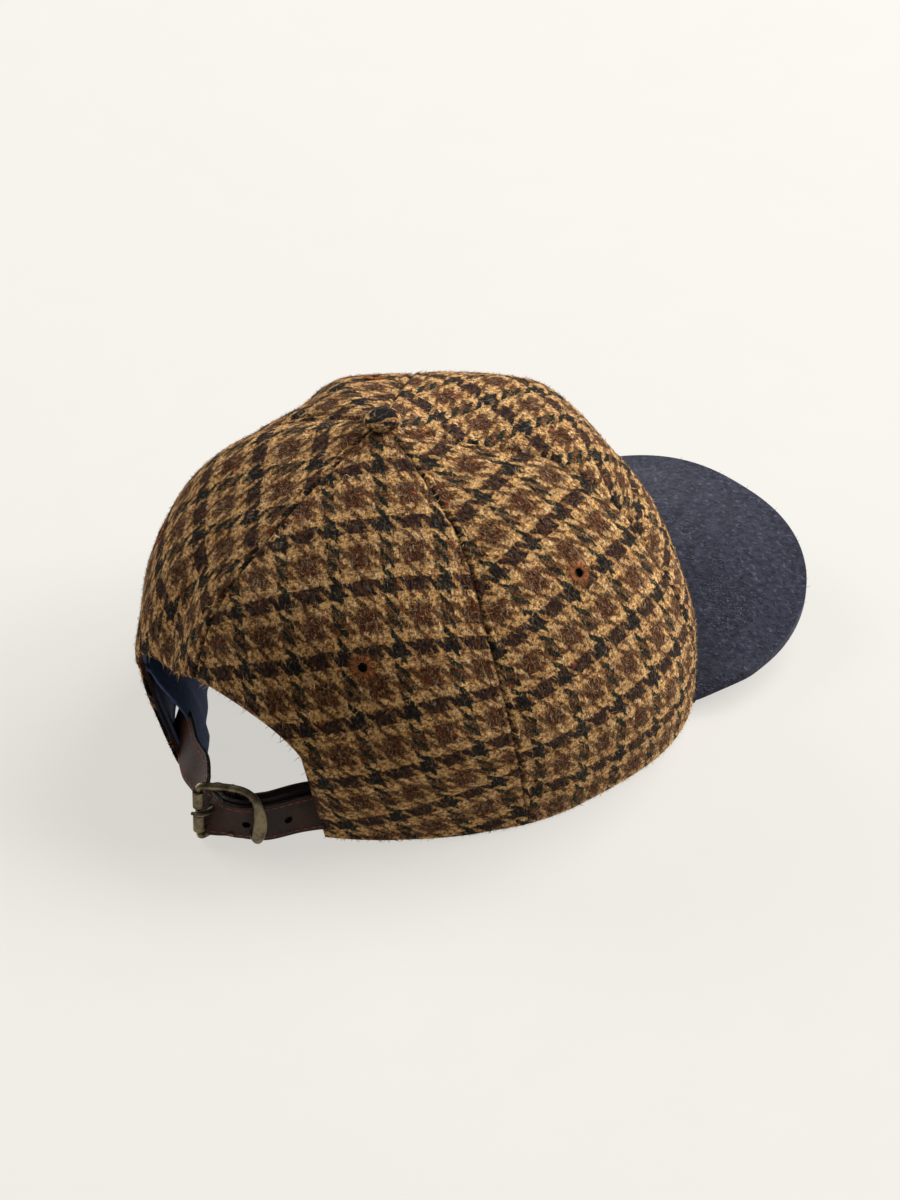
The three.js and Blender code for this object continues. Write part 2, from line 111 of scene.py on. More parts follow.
WARP_PITCH, WEFT_PITCH = 1.18, 1.47  # between the tweed's yarns
BUTTON_RADIUS, BUTTON_HEIGHT = 6.6, 4.8
PEAK_THICK, PEAK_CORNER, PEAK_CUT = 3.2, 48, 95
PEAK_HALF, PEAK_LENGTH, PEAK_SQUARE, PEAK_SIDE, PEAK_TIP, PEAK_SEAM_LIFT = 75.3, 61.2, 2.4, 11, 27, 2
BAND_HEIGHT, BAND_LIFT, BAND_END, BAND_LEFT = 30, 1.2, 141, -153
LOW_RUN = 150  # near the hem, this far up the cloth would be a whole rise
BAND_LENGTH, BAND_SLACK, BAND_BULGE = 478, 8.4, 3.6  # loose towards the left tail
BINDING_WIDTH, BINDING_LENGTH, FOOT_SHARE = 10, 188, 0.3
STRAP_ROUTE = [
    (-58, 62.5), (-47, 70.8), (-41.2, 75.2), (-36.6, 84), (-32.3, 97.5), (-24, 106.5), (-13, 110.2),
    (-7.3, 105.4), (2.1, 98.7), (12.3, 95.2), (23, 89), (31, 84.8), (36.5, 81.7),
]
STRAP_WIDTH, STRAP_THICK, STRAP_MIDDLE, STRAP_HOLE = 16, 1.6, 12.2, 1.5
LONG_MIDDLE, SHORT_MIDDLE, HOLE_HEIGHT = 10.7, 11.5, 10
# Along the strap from the buckle: holes, how far its middle sinks, and how far its top edge leans out
STRAP_HOLES, PRONG_HOLE, PRONG_SLOT = (-20.7, -5.7, 22), 7, (14, 3.6, 9)
STRAP_DROP = [(-54, 2.6), (-14, 2.4), (-1, 1.9), (8, 1), (18, 0)]
STRAP_LEAN = [(-40, 0), (-12, 0.8), (-4, 2), (2, 1.5), (8, -2.3), (20, -2.2), (30, -2.3), (40, -2.6)]
STITCH_INSET, STITCH_PITCH = 1.7, 3.0
BUCKLE_HALF, BUCKLE_ARM, BUCKLE_LIFT = 11, 10.2, 2.2
FIBRES = 11000  # loose fibres on each panel
# How each panel was cut from the check: turn in degrees, then millimetres along the weft and the warp
LAY_FROM = 80  # up each panel
CLOTH_LAY = {
    "front_panel": (0, 0, 0),
    "side_panel_right": (4.5, -12.9, -5.6),
    "back_panel_right": (15.5, -12.0, 0.9),
    "back_panel_left": (-15.5, 12.0, 0.9),
    "side_panel_left": (-4.5, 12.9, -5.6),
}


# Crown surface
def unit(vectors):
    return vectors / np.linalg.norm(vectors, axis=-1, keepdims=True)


def bell(x, at, spread):
    return np.exp(-(((x - at) / spread) ** 2))


def run_along(points):
    """Distance travelled along points, from nothing at the first."""
    return np.concatenate([[0], np.cumsum(np.linalg.norm(np.diff(points, axis=0), axis=1))])


def curve_step(p, w):
    """Centripetal curve from the second of four points to the third, at a share of the way."""
    d = [np.maximum(((p[k + 1] - p[k]) ** 2).sum(-1, keepdims=True) ** 0.25, 1e-4) for k in range(3)]
    t1 = ((p[1] - p[0]) / d[0] - (p[2] - p[0]) / (d[0] + d[1]) + (p[2] - p[1]) / d[1]) * d[1]
    t2 = ((p[2] - p[1]) / d[1] - (p[3] - p[1]) / (d[1] + d[2]) + (p[3] - p[2]) / d[2]) * d[1]
    square = -3 * p[1] + 3 * p[2] - 2 * t1 - t2
    cube = 2 * p[1] - 2 * p[2] + t1 + t2
    return p[1] + t1 * w + square * w**2 + cube * w**3


def wrap(azimuth):
    return (azimuth + 540) % 360 - 180


def hem_height(azimuth):
    share = np.minimum(np.abs(wrap(azimuth)) / FRONT_SPAN, 1)
    return FRONT_RISE * np.cos(np.pi / 2 * share) ** 2


def panel_share(azimuth):
    edges = np.array([PANELS["front_panel"][0], *(end for _, end, _ in PANELS.values())])
    turned = (azimuth - edges[0]) % 360 + edges[0]
    i = np.clip(np.searchsorted(edges, turned, side="right") - 1, 0, 4)
    return (turned - edges[i]) / (edges[i + 1] - edges[i])


def along_rings(rings, rise):
    """The curve through the rings, at a share of the way up."""
    last = len(RINGS) - 1
    place = np.clip(rise, 0, 1) * last
    i = np.minimum(place.astype(int), last - 1)
    before = 2 * rings[..., :1, :] - rings[..., 1:2, :]
    after = 2 * rings[..., -1:, :] - rings[..., -2:-1, :]
    padded = np.concatenate([before, rings, after], -2)
    p = [np.take_along_axis(padded, (i + k)[..., None, None], -2)[..., 0, :] for k in range(4)]
    return curve_step(p, (place - i)[..., None])


def tail_share(azimuth):
    """How far a spot belongs to the left tail and to the right one."""
    left = np.asarray(azimuth) % 360
    right = -np.asarray(azimuth) % 360
    shares = []
    for turned in (left, right):
        rising, falling = (turned - TAIL_NEAR) / TAIL_NEAR_FADE, (TAIL_FAR - turned) / TAIL_FAR_FADE
        shares.append(np.clip(np.minimum(rising, falling), 0, 1))
    return shares


def crown(azimuth, rise):
    """Outer surface of the crown, in millimetres about the crown's own centre."""
    azimuth, rise = np.broadcast_arrays(np.asarray(azimuth, float), np.asarray(rise, float))
    left, right = tail_share(azimuth)
    foot = np.clip(1 - rise / TAIL_TOP, 0, 1)
    bow = bell(rise, RIGHT_BOW_AT, RIGHT_BOW_SPREAD)
    leaned = azimuth - LEFT_LEAN * left * foot**0.6 - RIGHT_LEAN * right * bow
    t = np.radians(leaned)[..., None]
    c, s = np.cos(t), np.sin(t)
    reach = 1 + np.where(c > 0, FRONT_FULLNESS, BACK_FULLNESS) * np.sin(2 * t) ** 2
    centre, length, width, front, side, back = RINGS.T
    height = np.where(c > 0, front, back) * c**2 + side * s**2
    height[..., 0] = hem_height(azimuth)
    rings = np.stack([-width * s * reach, centre - length * c * reach, height], -1)
    point = along_rings(rings, rise)
    flare = (LEFT_FLARE * left + RIGHT_FLARE * right) * foot
    point = point - np.concatenate([s, c, np.zeros_like(s)], -1) * flare[..., None]
    puff = PUFF * np.sin(np.pi * panel_share(azimuth)).clip(0) ** 0.7
    push = puff * np.sin(np.pi * rise.clip(0, 1)).clip(0) ** 0.8
    for fold_azimuth, fold_rise, out, wide, high in FOLDS:
        across = wrap(azimuth - fold_azimuth) / wide
        along = (rise - fold_rise) / high
        push = push + out * np.exp(-across**2 - along**2) * np.minimum(rise / 0.12, 1)
    return point + unit(point - np.array(CROWN_HEART)) * push[..., None]


def crown_normal(azimuth, rise):
    azimuth, rise = np.broadcast_arrays(np.asarray(azimuth, float), np.asarray(rise, float))
    along = crown(azimuth, np.minimum(rise + 0.01, 1)) - crown(azimuth, np.maximum(rise - 0.01, 0))
    across = crown(azimuth + 0.4, rise) - crown(azimuth - 0.4, rise)
    return unit(np.cross(along, across))


def placed(points):
    """Drafting millimetres to the frame's metres."""
    return (np.asarray(points, float) + np.array([0, SET_BACK, 0])) * MM


def arch_height(x):
    share = np.minimum(np.abs(x) / np.where(x < 0, RIGHT_SHOULDER, LEFT_SHOULDER), 1)
    over = (1 - share**ARCH_SQUARE) ** (1 / ARCH_SQUARE)
    sag = ARCH_SAG * bell(x, SAG_AT, SAG_SPREAD)
    return ARCH_SHOULDER_HEIGHT + (ARCH_HEIGHT - ARCH_SHOULDER_HEIGHT) * over - sag


def lowest_rise(azimuth):
    """Where the cloth starts: at the hem, or at the edge of the arch behind."""
    azimuth = np.asarray(azimuth, float)
    low, high = np.zeros_like(azimuth), np.full_like(azimuth, 0.6)
    for _ in range(26):
        middle = (low + high) / 2
        point = crown(azimuth, middle)
        under = point[..., 2] < arch_height(point[..., 0])
        low, high = np.where(under, middle, low), np.where(under, high, middle)
    return np.where(np.abs(wrap(azimuth)) < TAIL_AZIMUTH, 0, low)


class Panel:
    """Flat-pattern measures of one crown panel, and its dressed surface."""

    def __init__(self, name):
        self.name = name
        self.start, self.end, self.columns = PANELS[name]
        self.rises = np.linspace(0, 1, 201)
        middle = crown((self.start + self.end) / 2, self.rises)
        self.lengths = run_along(middle)
        shares = np.linspace(0, 1, 41)
        rows = crown(self.azimuth(shares)[None, :], self.rises[:, None])
        self.widths = np.linalg.norm(np.diff(rows, axis=1), axis=2).sum(1)
        facing = math.radians((self.start + self.end) / 2)
        self.ahead = np.array([-math.sin(facing), -math.cos(facing), 0])
        self.aside = np.array([-math.cos(facing), math.sin(facing), 0])
        self.origin = np.array([0, RINGS[-1, 0], 0])
        line = np.stack([(middle - self.origin) @ self.ahead, middle[:, 2]], -1)
        past = np.linspace(1, 40, 20)
        self.line = np.concatenate([line, line[-1] + np.outer(past, [-1, 0])])
        self.line_run = np.concatenate([self.lengths, self.lengths[-1] + past])
        self.line_along = unit(np.gradient(self.line, axis=0))

    def azimuth(self, share):
        return self.start + share * (self.end - self.start)

    def width(self, rise):
        return np.interp(rise, self.rises, self.widths)

    def length(self, rise):
        return np.interp(rise, self.rises, self.lengths)

    def flat(self, share, rise):
        """Place on the flat cloth in millimetres: threads cross the panel's middle line squarely."""
        point = crown(self.azimuth(share), rise) - self.origin
        seen = np.stack([point @ self.ahead, point[..., 2]], -1)
        gap = seen[:, None] - self.line[None]
        nearest = np.argmin((gap**2).sum(-1), axis=1)
        gap = gap[np.arange(len(seen)), nearest]
        along = self.line_along[nearest]
        run = self.line_run[nearest] + (gap * along).sum(-1)
        sag = gap[:, 0] * along[:, 1] - gap[:, 1] * along[:, 0]
        side = point @ self.aside
        bend = np.minimum(np.abs(sag) / np.maximum(np.abs(side), 1), 0.9)
        side = side * (1 + 0.667 * bend**2 - 0.2 * bend**4)
        turn, shift_u, shift_v = CLOTH_LAY[self.name]
        c, s = math.cos(math.radians(turn)), math.sin(math.radians(turn))
        run = run - LAY_FROM
        return np.stack([side * c - run * s + shift_u, side * s + run * c + shift_v], -1)

    def relief(self, share, rise):
        """Turned-in seam edges, pinched stitch rows, rolled hem and soft unevenness."""
        wide = self.width(rise)
        fade = np.minimum(wide / 24, 1) * (1 - 0.5 * rise) * np.clip(self.length(rise) / 9, 0.2, 1)
        out = np.zeros_like(wide)
        for edge in (share * wide, (1 - share) * wide):
            out += fade * (0.6 * bell(edge, 1.8, 1.0) - 0.85 * bell(edge, 0, 0.75))
            out -= fade * 0.45 * bell(edge, SEAM_STITCH, 0.8)
        low = lowest_rise(self.azimuth(share))
        edge = self.length(rise) - self.length(low)
        out -= 0.9 * bell(edge, 0, 1.0) + 0.2 * bell(edge, 5, 1.0)
        place = np.stack([self.azimuth(share) * 0.035, rise * 5, 0 * rise], -1).reshape(-1, 3)
        soft = np.array([noise.fractal(Vector(q), 1.0, 2.0, 3) for q in place]).reshape(out.shape)
        return out + 0.55 * soft

    def surface(self, share, rise):
        azimuth = self.azimuth(share)
        normal = crown_normal(azimuth, rise)
        return crown(azimuth, rise) + normal * self.relief(share, rise)[..., None], normal


panels = {name: Panel(name) for name in PANELS}


# Mesh helpers
def only(piece):
    bpy.ops.object.select_all(action="DESELECT")
    piece.select_set(True)
    bpy.context.view_layer.objects.active = piece


def named(name):
    piece = bpy.context.object
    piece.name = name
    piece.data.name = name
    return piece


def modifier(piece, kind, **settings):
    only(piece)
    added = piece.modifiers.new(kind.lower(), kind)
    for key, value in settings.items():
        setattr(added, key, value)
    bpy.ops.object.modifier_apply(modifier=added.name)


def in_edit_mode(piece, *steps):
    """Runs mesh operators, each with its settings, on the whole of a piece."""
    only(piece)
    bpy.ops.object.mode_set(mode="EDIT")
    bpy.ops.mesh.select_all(action="SELECT")
    for operator, settings in steps:
        operator(**settings)
    bpy.ops.object.mode_set(mode="OBJECT")


def merge(piece, distance=1e-6):
    near = {"threshold": distance}
    in_edit_mode(piece, (bpy.ops.mesh.remove_doubles, near), (bpy.ops.mesh.dissolve_degenerate, near))


def outwards(piece):
    in_edit_mode(piece, (bpy.ops.mesh.normals_make_consistent, {"inside": False}))


def ease(piece, width, segments, angle):
    """Rounds the edges that are sharper than an angle."""
    modifier(piece, "BEVEL", width=width * MM, segments=segments, limit_method="ANGLE",
             angle_limit=math.radians(angle))


def cut_away(piece, cutter):
    modifier(piece, "BOOLEAN", object=cutter, operation="DIFFERENCE", solver="EXACT")
    bpy.data.objects.remove(cutter, do_unlink=True)


def corners_of(piece):
    corners = np.empty(len(piece.data.vertices) * 3)
    piece.data.vertices.foreach_get("co", corners)
    return corners.reshape(-1, 3)


def smooth(piece, angle=None):
    only(piece)
    if angle is None:
        bpy.ops.object.shade_smooth()
    else:
        bpy.ops.object.shade_smooth_by_angle(angle=math.radians(angle))


def flat_grid(name, columns, rows):
    """A unit grid, with the share across and the share up of every corner."""
    bpy.ops.object.select_all(action="DESELECT")
    bpy.ops.mesh.primitive_grid_add(x_subdivisions=columns, y_subdivisions=rows, size=1)
    piece = named(name)
    share, up, _ = corners_of(piece).T + 0.5
    return piece, share, up


def set_points(piece, points):
    piece.data.vertices.foreach_set("co", np.asarray(points, float).ravel())
    piece.data.update()


def set_flat(piece, flat, layer="cloth"):
    """Writes each corner's place on the flat material, in metres, as the piece's UV map."""
    if "UVMap" in piece.data.uv_layers:
        piece.data.uv_layers.remove(piece.data.uv_layers["UVMap"])
    uv = piece.data.uv_layers.new(name=layer)
    corner = np.empty(len(piece.data.loops), int)
    piece.data.loops.foreach_get("vertex_index", corner)
    uv.data.foreach_set("uv", (np.asarray(flat, float)[corner] * MM).ravel())


def from_faces(name, points, faces, flat=None):
    """A mesh built from corners and faces."""
    mesh = bpy.data.meshes.new(name)
    mesh.from_pydata(points.tolist(), [], faces)
    piece = bpy.data.objects.new(name, mesh)
    bpy.context.collection.objects.link(piece)
    if flat is not None:
        set_flat(piece, flat)
    return piece


# Shader helpers
def operation(kind, swapped=False):
    """A method that adds one Math node."""
    def apply(self, other):
        return self.math(kind, *((other, self) if swapped else (self, other)))
    return apply


class Value:
    """A socket. Arithmetic on it adds Math nodes to its finish."""

    def __init__(self, finish, socket):
        self.finish, self.socket = finish, socket

    def math(self, operation, *values):
        return self.finish.node("ShaderNodeMath", {"operation": operation}, dict(enumerate(values)))

    __add__ = operation("ADD")
    __radd__ = operation("ADD", swapped=True)
    __sub__ = operation("SUBTRACT")
    __rsub__ = operation("SUBTRACT", swapped=True)
    __mul__ = operation("MULTIPLY")
    __rmul__ = operation("MULTIPLY", swapped=True)
    __pow__ = operation("POWER")
    __lt__ = operation("LESS_THAN")
    __gt__ = operation("GREATER_THAN")
    __mod__ = operation("FLOORED_MODULO")
    most = operation("MAXIMUM")

    def absolute(self):
        return self.math("ABSOLUTE", self)


class Finish:
    """A material with one principled shader."""

    def __init__(self, name, **constants):
        self.material = bpy.data.materials.new(name)
        self.material.use_nodes = True
        self.tree = self.material.node_tree
        self.shader = self.tree.nodes["Principled BSDF"]
        for key, value in constants.items():
            self.shader.inputs[key.replace("_", " ")].default_value = value

    def node(self, kind, settings=None, inputs=None, output=0):
        made = self.tree.nodes.new(kind)
        for key, value in (settings or {}).items():
            setattr(made, key, value)
        for key, value in (inputs or {}).items():
            self.feed(made.inputs[key], value)
        return Value(self, made.outputs[output])

    def feed(self, socket, value):
        if isinstance(value, Value):
            self.tree.links.new(value.socket, socket)
        elif isinstance(value, tuple) and len(value) == 3 and socket.type == "RGBA":
            socket.default_value = (*value, 1)
        else:
            socket.default_value = value

    def set(self, **inputs):
        for key, value in inputs.items():
            self.feed(self.shader.inputs[key.replace("_", " ")], value)

    def mix(self, share, first, second):
        return self.node("ShaderNodeMix", {"data_type": "RGBA"}, {0: share, 6: first, 7: second}, 2)

    def noise(self, vector, scale, detail=3.0, rough=0.55, distortion=0.0):
        inputs = {"Vector": vector, "Scale": scale, "Detail": detail, "Roughness": rough}
        return self.node("ShaderNodeTexNoise", {}, {**inputs, "Distortion": distortion})

    def combine(self, x, y, z=0.0):
        return self.node("ShaderNodeCombineXYZ", {}, {0: x, 1: y, 2: z})

    def uv(self, layer="cloth"):
        place = self.node("ShaderNodeUVMap", {"uv_map": layer})
        return [self.node("ShaderNodeSeparateXYZ", {}, {0: place}, k) for k in (0, 1)]

    def place(self):
        return self.node("ShaderNodeTexCoord", {}, {}, 3)

    def step(self, value, low, high):
        settings = {"interpolation_type": "SMOOTHSTEP"}
        return self.node("ShaderNodeMapRange", settings, {0: value, 1: low, 2: high})

    def bump(self, height, distance, strength=1.0):
        inputs = {"Height": height, "Distance": distance, "Strength": strength}
        self.set(Normal=self.node("ShaderNodeBump", {}, inputs))


def colour(red, green, blue):
    """A colour as seen on screen, made linear."""
    shares = (red / 255, green / 255, blue / 255)
    return tuple(c / 12.92 if c < 0.0404 else ((c + 0.055) / 1.055) ** 2.4 for c in shares)


def tweed_finish(name, fuzz=False):
    """Two-and-two twill in a check of dark, tan and brown yarns, four of each."""
    f = Finish(name, Roughness=0.97, Sheen_Weight=0.035, Sheen_Roughness=0.5, Specular_IOR_Level=0.04)
    u, v = f.uv()
    place = f.combine(u, v)

    def wander(at):
        return (f.noise(at, 150.0, 2.0) - 0.5) * 1.6 + (f.noise(at, 800.0, 3.0, 0.7) - 0.5) * 1.5

    x = u * (1000 / WARP_PITCH) + wander(place)
    y = v * (1000 / WEFT_PITCH) + wander(f.combine(v, u, 0.3))

    def band(at, low, high, soft):
        turn = at % 16
        return f.step(turn, low - soft, low + soft) * f.step(turn, high + soft, high - soft)

    warp_dark, weft_dark = band(x, 0.5, 4.5, 0.3), band(y, 0.5, 4.5, 0.3)
    warp_brown, weft_brown = band(x, 7.5, 13.5, 0.7), band(y, 7.5, 13.5, 0.7)
    tooth = (x - y) % 4
    open_to = 1.85 + warp_dark * 0.4
    warp_up = f.step(tooth, 0.0, 0.35) * f.step(tooth, open_to + 0.25, open_to - 0.25)
    grain = f.noise(place, 620.0, 3.0, 0.7)
    light = f.step(grain, 0.36, 0.64)
    tan = f.mix(light, colour(104, 55, 22), colour(245, 192, 120))
    brown = f.mix(light, colour(40, 17, 5), colour(96, 48, 17))
    green = f.mix(light, colour(8, 12, 8), colour(26, 36, 20))
    wine = f.mix(light, colour(16, 8, 9), colour(48, 26, 27))
    browned = warp_up * warp_brown + (1 - warp_up) * weft_brown
    warp = f.mix(warp_dark, f.mix(warp_brown * 0.9 + weft_brown * 0.1, tan, brown), green)
    warp = f.mix(weft_dark * (1 - warp_dark) * (0.2 + warp_brown * 0.45), warp, wine)
    weft = f.mix(weft_dark, f.mix(weft_brown * 0.9 + warp_brown * 0.1, tan, brown), wine)
    tone = f.mix(warp_up, weft, warp)
    tone = f.mix(warp_dark * weft_dark * 0.8, tone, f.mix(light, colour(8, 8, 11), colour(22, 20, 23)))
    strand = f.noise(f.combine(x * 1.2, y * 0.5, 1.5), 1.5, 4.0, 0.75, 0.8)
    strand_more = f.noise(f.combine(x * 0.5, y * 1.3, 4.5), 1.5, 4.0, 0.75, 0.8)
    undimmed = (1 - 0.82 * weft_dark.most(warp_dark * warp_up)) * (1 - 0.6 * browned)
    tone = f.mix(f.step(strand, 0.52, 0.67) * undimmed * 0.85, tone, colour(255, 233, 190))
    tone = f.mix(f.step(strand_more, 0.48, 0.33) * 0.8, tone, colour(22, 12, 7))
    rust = f.noise(place, 230.0, 2.0)
    tone = f.mix(f.step(rust, 0.55, 0.75) * 0.35, tone, colour(132, 68, 32))
    spread = f.combine(x * 0.32 + strand * 1.4, y * 0.6 + strand_more * 1.4)
    cells = {"Vector": spread, "Scale": 1.0, "Randomness": 1.0}
    speck = f.node("ShaderNodeTexVoronoi", {"feature": "F1"}, cells, 0)
    pick = f.node("ShaderNodeTexVoronoi", {"feature": "F1"}, cells, 1)
    parts = [f.node("ShaderNodeSeparateColor", {}, {0: pick}, k) for k in (0, 1)]
    fleck = f.mix(f.step(parts[1], 0.7, 0.9), colour(176, 62, 38), colour(206, 184, 152))
    tone = f.mix((speck < 0.28) * (parts[0] > 0.978) * 0.5, tone, fleck)
    if fuzz:
        f.set(Base_Color=f.mix(0.2 - weft_dark.most(warp_dark) * 0.15, tone, colour(244, 206, 148)))
        return f
    round_x, round_y = (1 - ((at % 1 * 2 - 1).absolute()) ** 2 for at in (x, y))
    relief = f.node("ShaderNodeMix", {"data_type": "FLOAT"}, {0: warp_up, 2: round_y * 0.9, 3: round_x})
    # painted shade: the tweed is darkened in the hollows between the rounded yarns
    tone = f.mix(f.step(relief, 0.5, 0.0) * 0.25, tone, colour(24, 16, 11))
    from_seam = f.uv("edge")[0]
    shade = f.step(from_seam * 1000 + grain * 1.6, 1.8, 0.6) * 0.6
    f.set(Base_Color=f.mix(shade, tone, colour(15, 9, 6)))
    f.bump(relief * 0.4 + strand * 1.4 + grain * 0.8, 0.0009, 1.0)
    return f


def navy_wool_finish(name):
    f = Finish(name, Roughness=0.95, Sheen_Weight=0.08, Sheen_Roughness=0.5, Specular_IOR_Level=0.12)
    place = f.place()
    fine = f.noise(place, 1100.0, 3.0, 0.7)
    lump = f.noise(place, 430.0, 3.0, 0.6)
    cloud = f.noise(place, 140.0, 3.0)
    drawn = f.node("ShaderNodeVectorMath", {"operation": "MULTIPLY"}, {0: place, 1: (420, 640, 500)})
    streak = f.noise(drawn, 1.0, 2.0)
    tone = f.mix(f.step(lump * 0.75 + fine * 0.25, 0.36, 0.64), colour(22, 24, 34), colour(46, 48, 62))
    tone = f.mix(f.step(streak, 0.56, 0.76) * 0.5, tone, colour(94, 97, 113))
    tone = f.mix(f.step(cloud, 0.35, 0.65) * 0.35, tone, colour(28, 30, 42))
    f.set(Base_Color=tone)
    f.bump(lump * 0.8 + fine * 0.4, 0.0006, 0.7)
    return f


def lining_finish(name):
    f = Finish(name, Roughness=0.85, Specular_IOR_Level=0.25)
    u, v = f.uv()
    rib = ((u * 1800 + v * 1800) % 1 - 0.5).absolute() * 2
    grain = f.noise(f.combine(u, v), 700.0, 3.0)
    tone = f.mix(f.step(rib, 0.2, 0.9), colour(64, 80, 112), colour(44, 56, 82))
    tone = f.mix(f.step(grain, 0.4, 0.75) * 0.35, tone, colour(90, 104, 134))
    f.set(Base_Color=tone)
    f.bump(rib * -0.6 + grain * 0.4, 0.0003, 0.6)
    return f


def leather_finish(name):
    f = Finish(name, Specular_IOR_Level=0.28)
    place = f.place()
    cells = {"Vector": place, "Scale": 1100.0}
    pores = f.node("ShaderNodeTexVoronoi", {"feature": "DISTANCE_TO_EDGE"}, cells)
    crease = f.noise(place, 120.0, 4.0, 0.6, 0.4)
    fine = f.noise(place, 700.0, 3.0)
    across = f.uv()[1]
    rim = f.step((across * 1000 - STRAP_WIDTH / 2).absolute(), 6.9, 7.9)
    tone = f.mix(f.step(crease, 0.35, 0.7), colour(34, 18, 12), colour(62, 34, 23))
    tone = f.mix(rim * 0.7, tone, colour(24, 17, 15))
    tone = f.mix(f.step(fine, 0.6, 0.8) * 0.25, tone, colour(80, 54, 42))
    f.set(Base_Color=tone, Roughness=0.5 + crease * 0.2 - rim * 0.12)
    f.bump(f.step(pores, 0.0, 0.14) * 0.5 + crease * 0.8, 0.00035, 0.6)
    return f


def brass_finish(name):
    f = Finish(name, Metallic=1.0)
    place = f.place()
    patina = f.noise(place, 260.0, 5.0, 0.65)
    scratch = f.noise(place, 1500.0, 3.0)
    tone = f.mix(f.step(patina, 0.35, 0.62), colour(77, 69, 54), colour(133, 120, 95))
    tone = f.mix(f.step(scratch, 0.62, 0.8) * 0.4, tone, colour(180, 167, 138))
    f.set(Base_Color=tone, Roughness=0.34 + patina * 0.28)
    f.bump(patina * 0.6 + scratch * 0.4, 0.0002, 0.4)
    return f


def eyelet_finish(name):
    """Buttonhole thread worked round a hole."""
    f = Finish(name, Roughness=0.9, Specular_IOR_Level=0.1)
    u, v = f.uv()
    ray = f.noise(f.combine(u * 9000, v * 500, 2.0), 1.0, 3.0, 0.6)
    fine = f.noise(f.place(), 2200.0, 2.0)
    tone = f.mix(f.step(ray, 0.36, 0.64), colour(44, 23, 11), colour(166, 106, 66))
    tone = f.mix(f.step(fine, 0.5, 0.7) * 0.4, tone, colour(86, 48, 22))
    f.set(Base_Color=tone)
    f.bump(ray, 0.0005, 1.0)
    return f


def thread_finish(name, light, dark):
    f = Finish(name, Roughness=0.8, Specular_IOR_Level=0.25)
    place = f.place()
    twist = f.noise(place, 2600.0, 2.0)
    f.set(Base_Color=f.mix(f.step(twist, 0.35, 0.68), dark, light))
    f.bump(twist, 0.0001, 0.6)
    return f


def navy_fibre_finish(name):
    f = Finish(name, Roughness=0.9)
    pale = f.step(f.noise(f.place(), 700.0), 0.4, 0.65)
    f.set(Base_Color=f.mix(pale, colour(46, 48, 64), colour(92, 94, 110)))
    return f


tweed = tweed_finish("tweed_check")
tweed_fuzz = tweed_finish("tweed_fibres", fuzz=True)
navy = navy_wool_finish("navy_wool")
lining = lining_finish("navy_lining")
leather = leather_finish("brown_leather")
brass = brass_finish("antique_brass")
brown_thread = thread_finish("brown_thread", colour(112, 68, 34), colour(44, 24, 12))
eyelet_thread = eyelet_finish("eyelet_thread")
rust_thread = thread_finish("rust_thread", colour(168, 88, 64), colour(108, 46, 32))
backing = lining_finish("panel_backing")
# dark brown for the cloth's cut and turned edges: the edge's own brown, darkened with painted shade
shaded_turned_edge = thread_finish("shaded_turned_edge", colour(104, 66, 34), colour(34, 20, 12))
# painted shade for the walls and floors of the blind eyelet holes
hole_shade = thread_finish("hole_shade", colour(26, 15, 9), colour(8, 5, 3))
navy_fuzz = navy_fibre_finish("navy_fibres")


def dress(piece, finish, node=None):
    piece.data.materials.clear()
    piece.data.materials.append(finish.material)
    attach(piece, "root")
    if node:
        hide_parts(node)


# Crown panels
def punch(piece, place, axis, radius, depth=14.0):
    """A round hole through a piece, at a place and along an axis in drafting millimetres."""
    bpy.ops.object.select_all(action="DESELECT")
    turn = Vector(axis).to_track_quat("Z", "Y").to_euler()
    bpy.ops.mesh.primitive_cylinder_add(
        vertices=24, radius=radius * MM, depth=depth * MM, location=Vector(placed(place)), rotation=turn)
    cut_away(piece, bpy.context.object)


def shade_hole(piece, centre, axis):
    """Gives the wall of a punched eyelet hole painted shade, the dark of a hole that goes through the
    cloth.
    """
    for face in piece.data.polygons:
        off = face.center - centre
        deep = off.dot(axis)
        if (off - axis * deep).length < EYELET_HOLE * 1.05 * MM and -1.6 * MM < deep < 1 * MM:
            face.material_index = 2


def make_panel(name):
    panel = panels[name]
    piece, share, up = flat_grid(name + "_cloth", panel.columns, PANEL_ROWS)
    share = share * 1.002 - 0.001
    rise = np.maximum(up, lowest_rise(panel.azimuth(share)))
    points, _ = panel.surface(share, rise)
    set_points(piece, placed(points))
    set_flat(piece, panel.flat(share, rise))
    wide = panel.width(rise)
    to_seam = np.minimum(share, 1 - share) * wide + 12 * (1 - np.minimum(wide / 30, 1))
    set_flat(piece, np.stack([to_seam, panel.length(rise)], -1), "edge")
    merge(piece)
    outwards(piece)
    for finish in (tweed, backing, hole_shade, shaded_turned_edge):
        piece.data.materials.append(finish.material)
    # rim faces take the dark edge finish, which holds painted shade
    modifier(piece, "SOLIDIFY", thickness=CLOTH * MM * 0.95, offset=-1,
             material_offset=1, material_offset_rim=3)
    for azimuth, rise_at, carrier in EYELETS.values():
        if carrier == name:
            place, normal = crown(azimuth, rise_at), crown_normal(azimuth, rise_at)
            punch(piece, place + normal * 3, normal, EYELET_HOLE, 8.6)
            shade_hole(piece, Vector(placed(place)), Vector(normal))
    smooth(piece, 50)
    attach(piece, "root")
    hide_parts(name)
    wide, tall = float(panel.widths.max()) * MM, float(panel.lengths[-1]) * MM


for name in PANELS:
    make_panel(name)


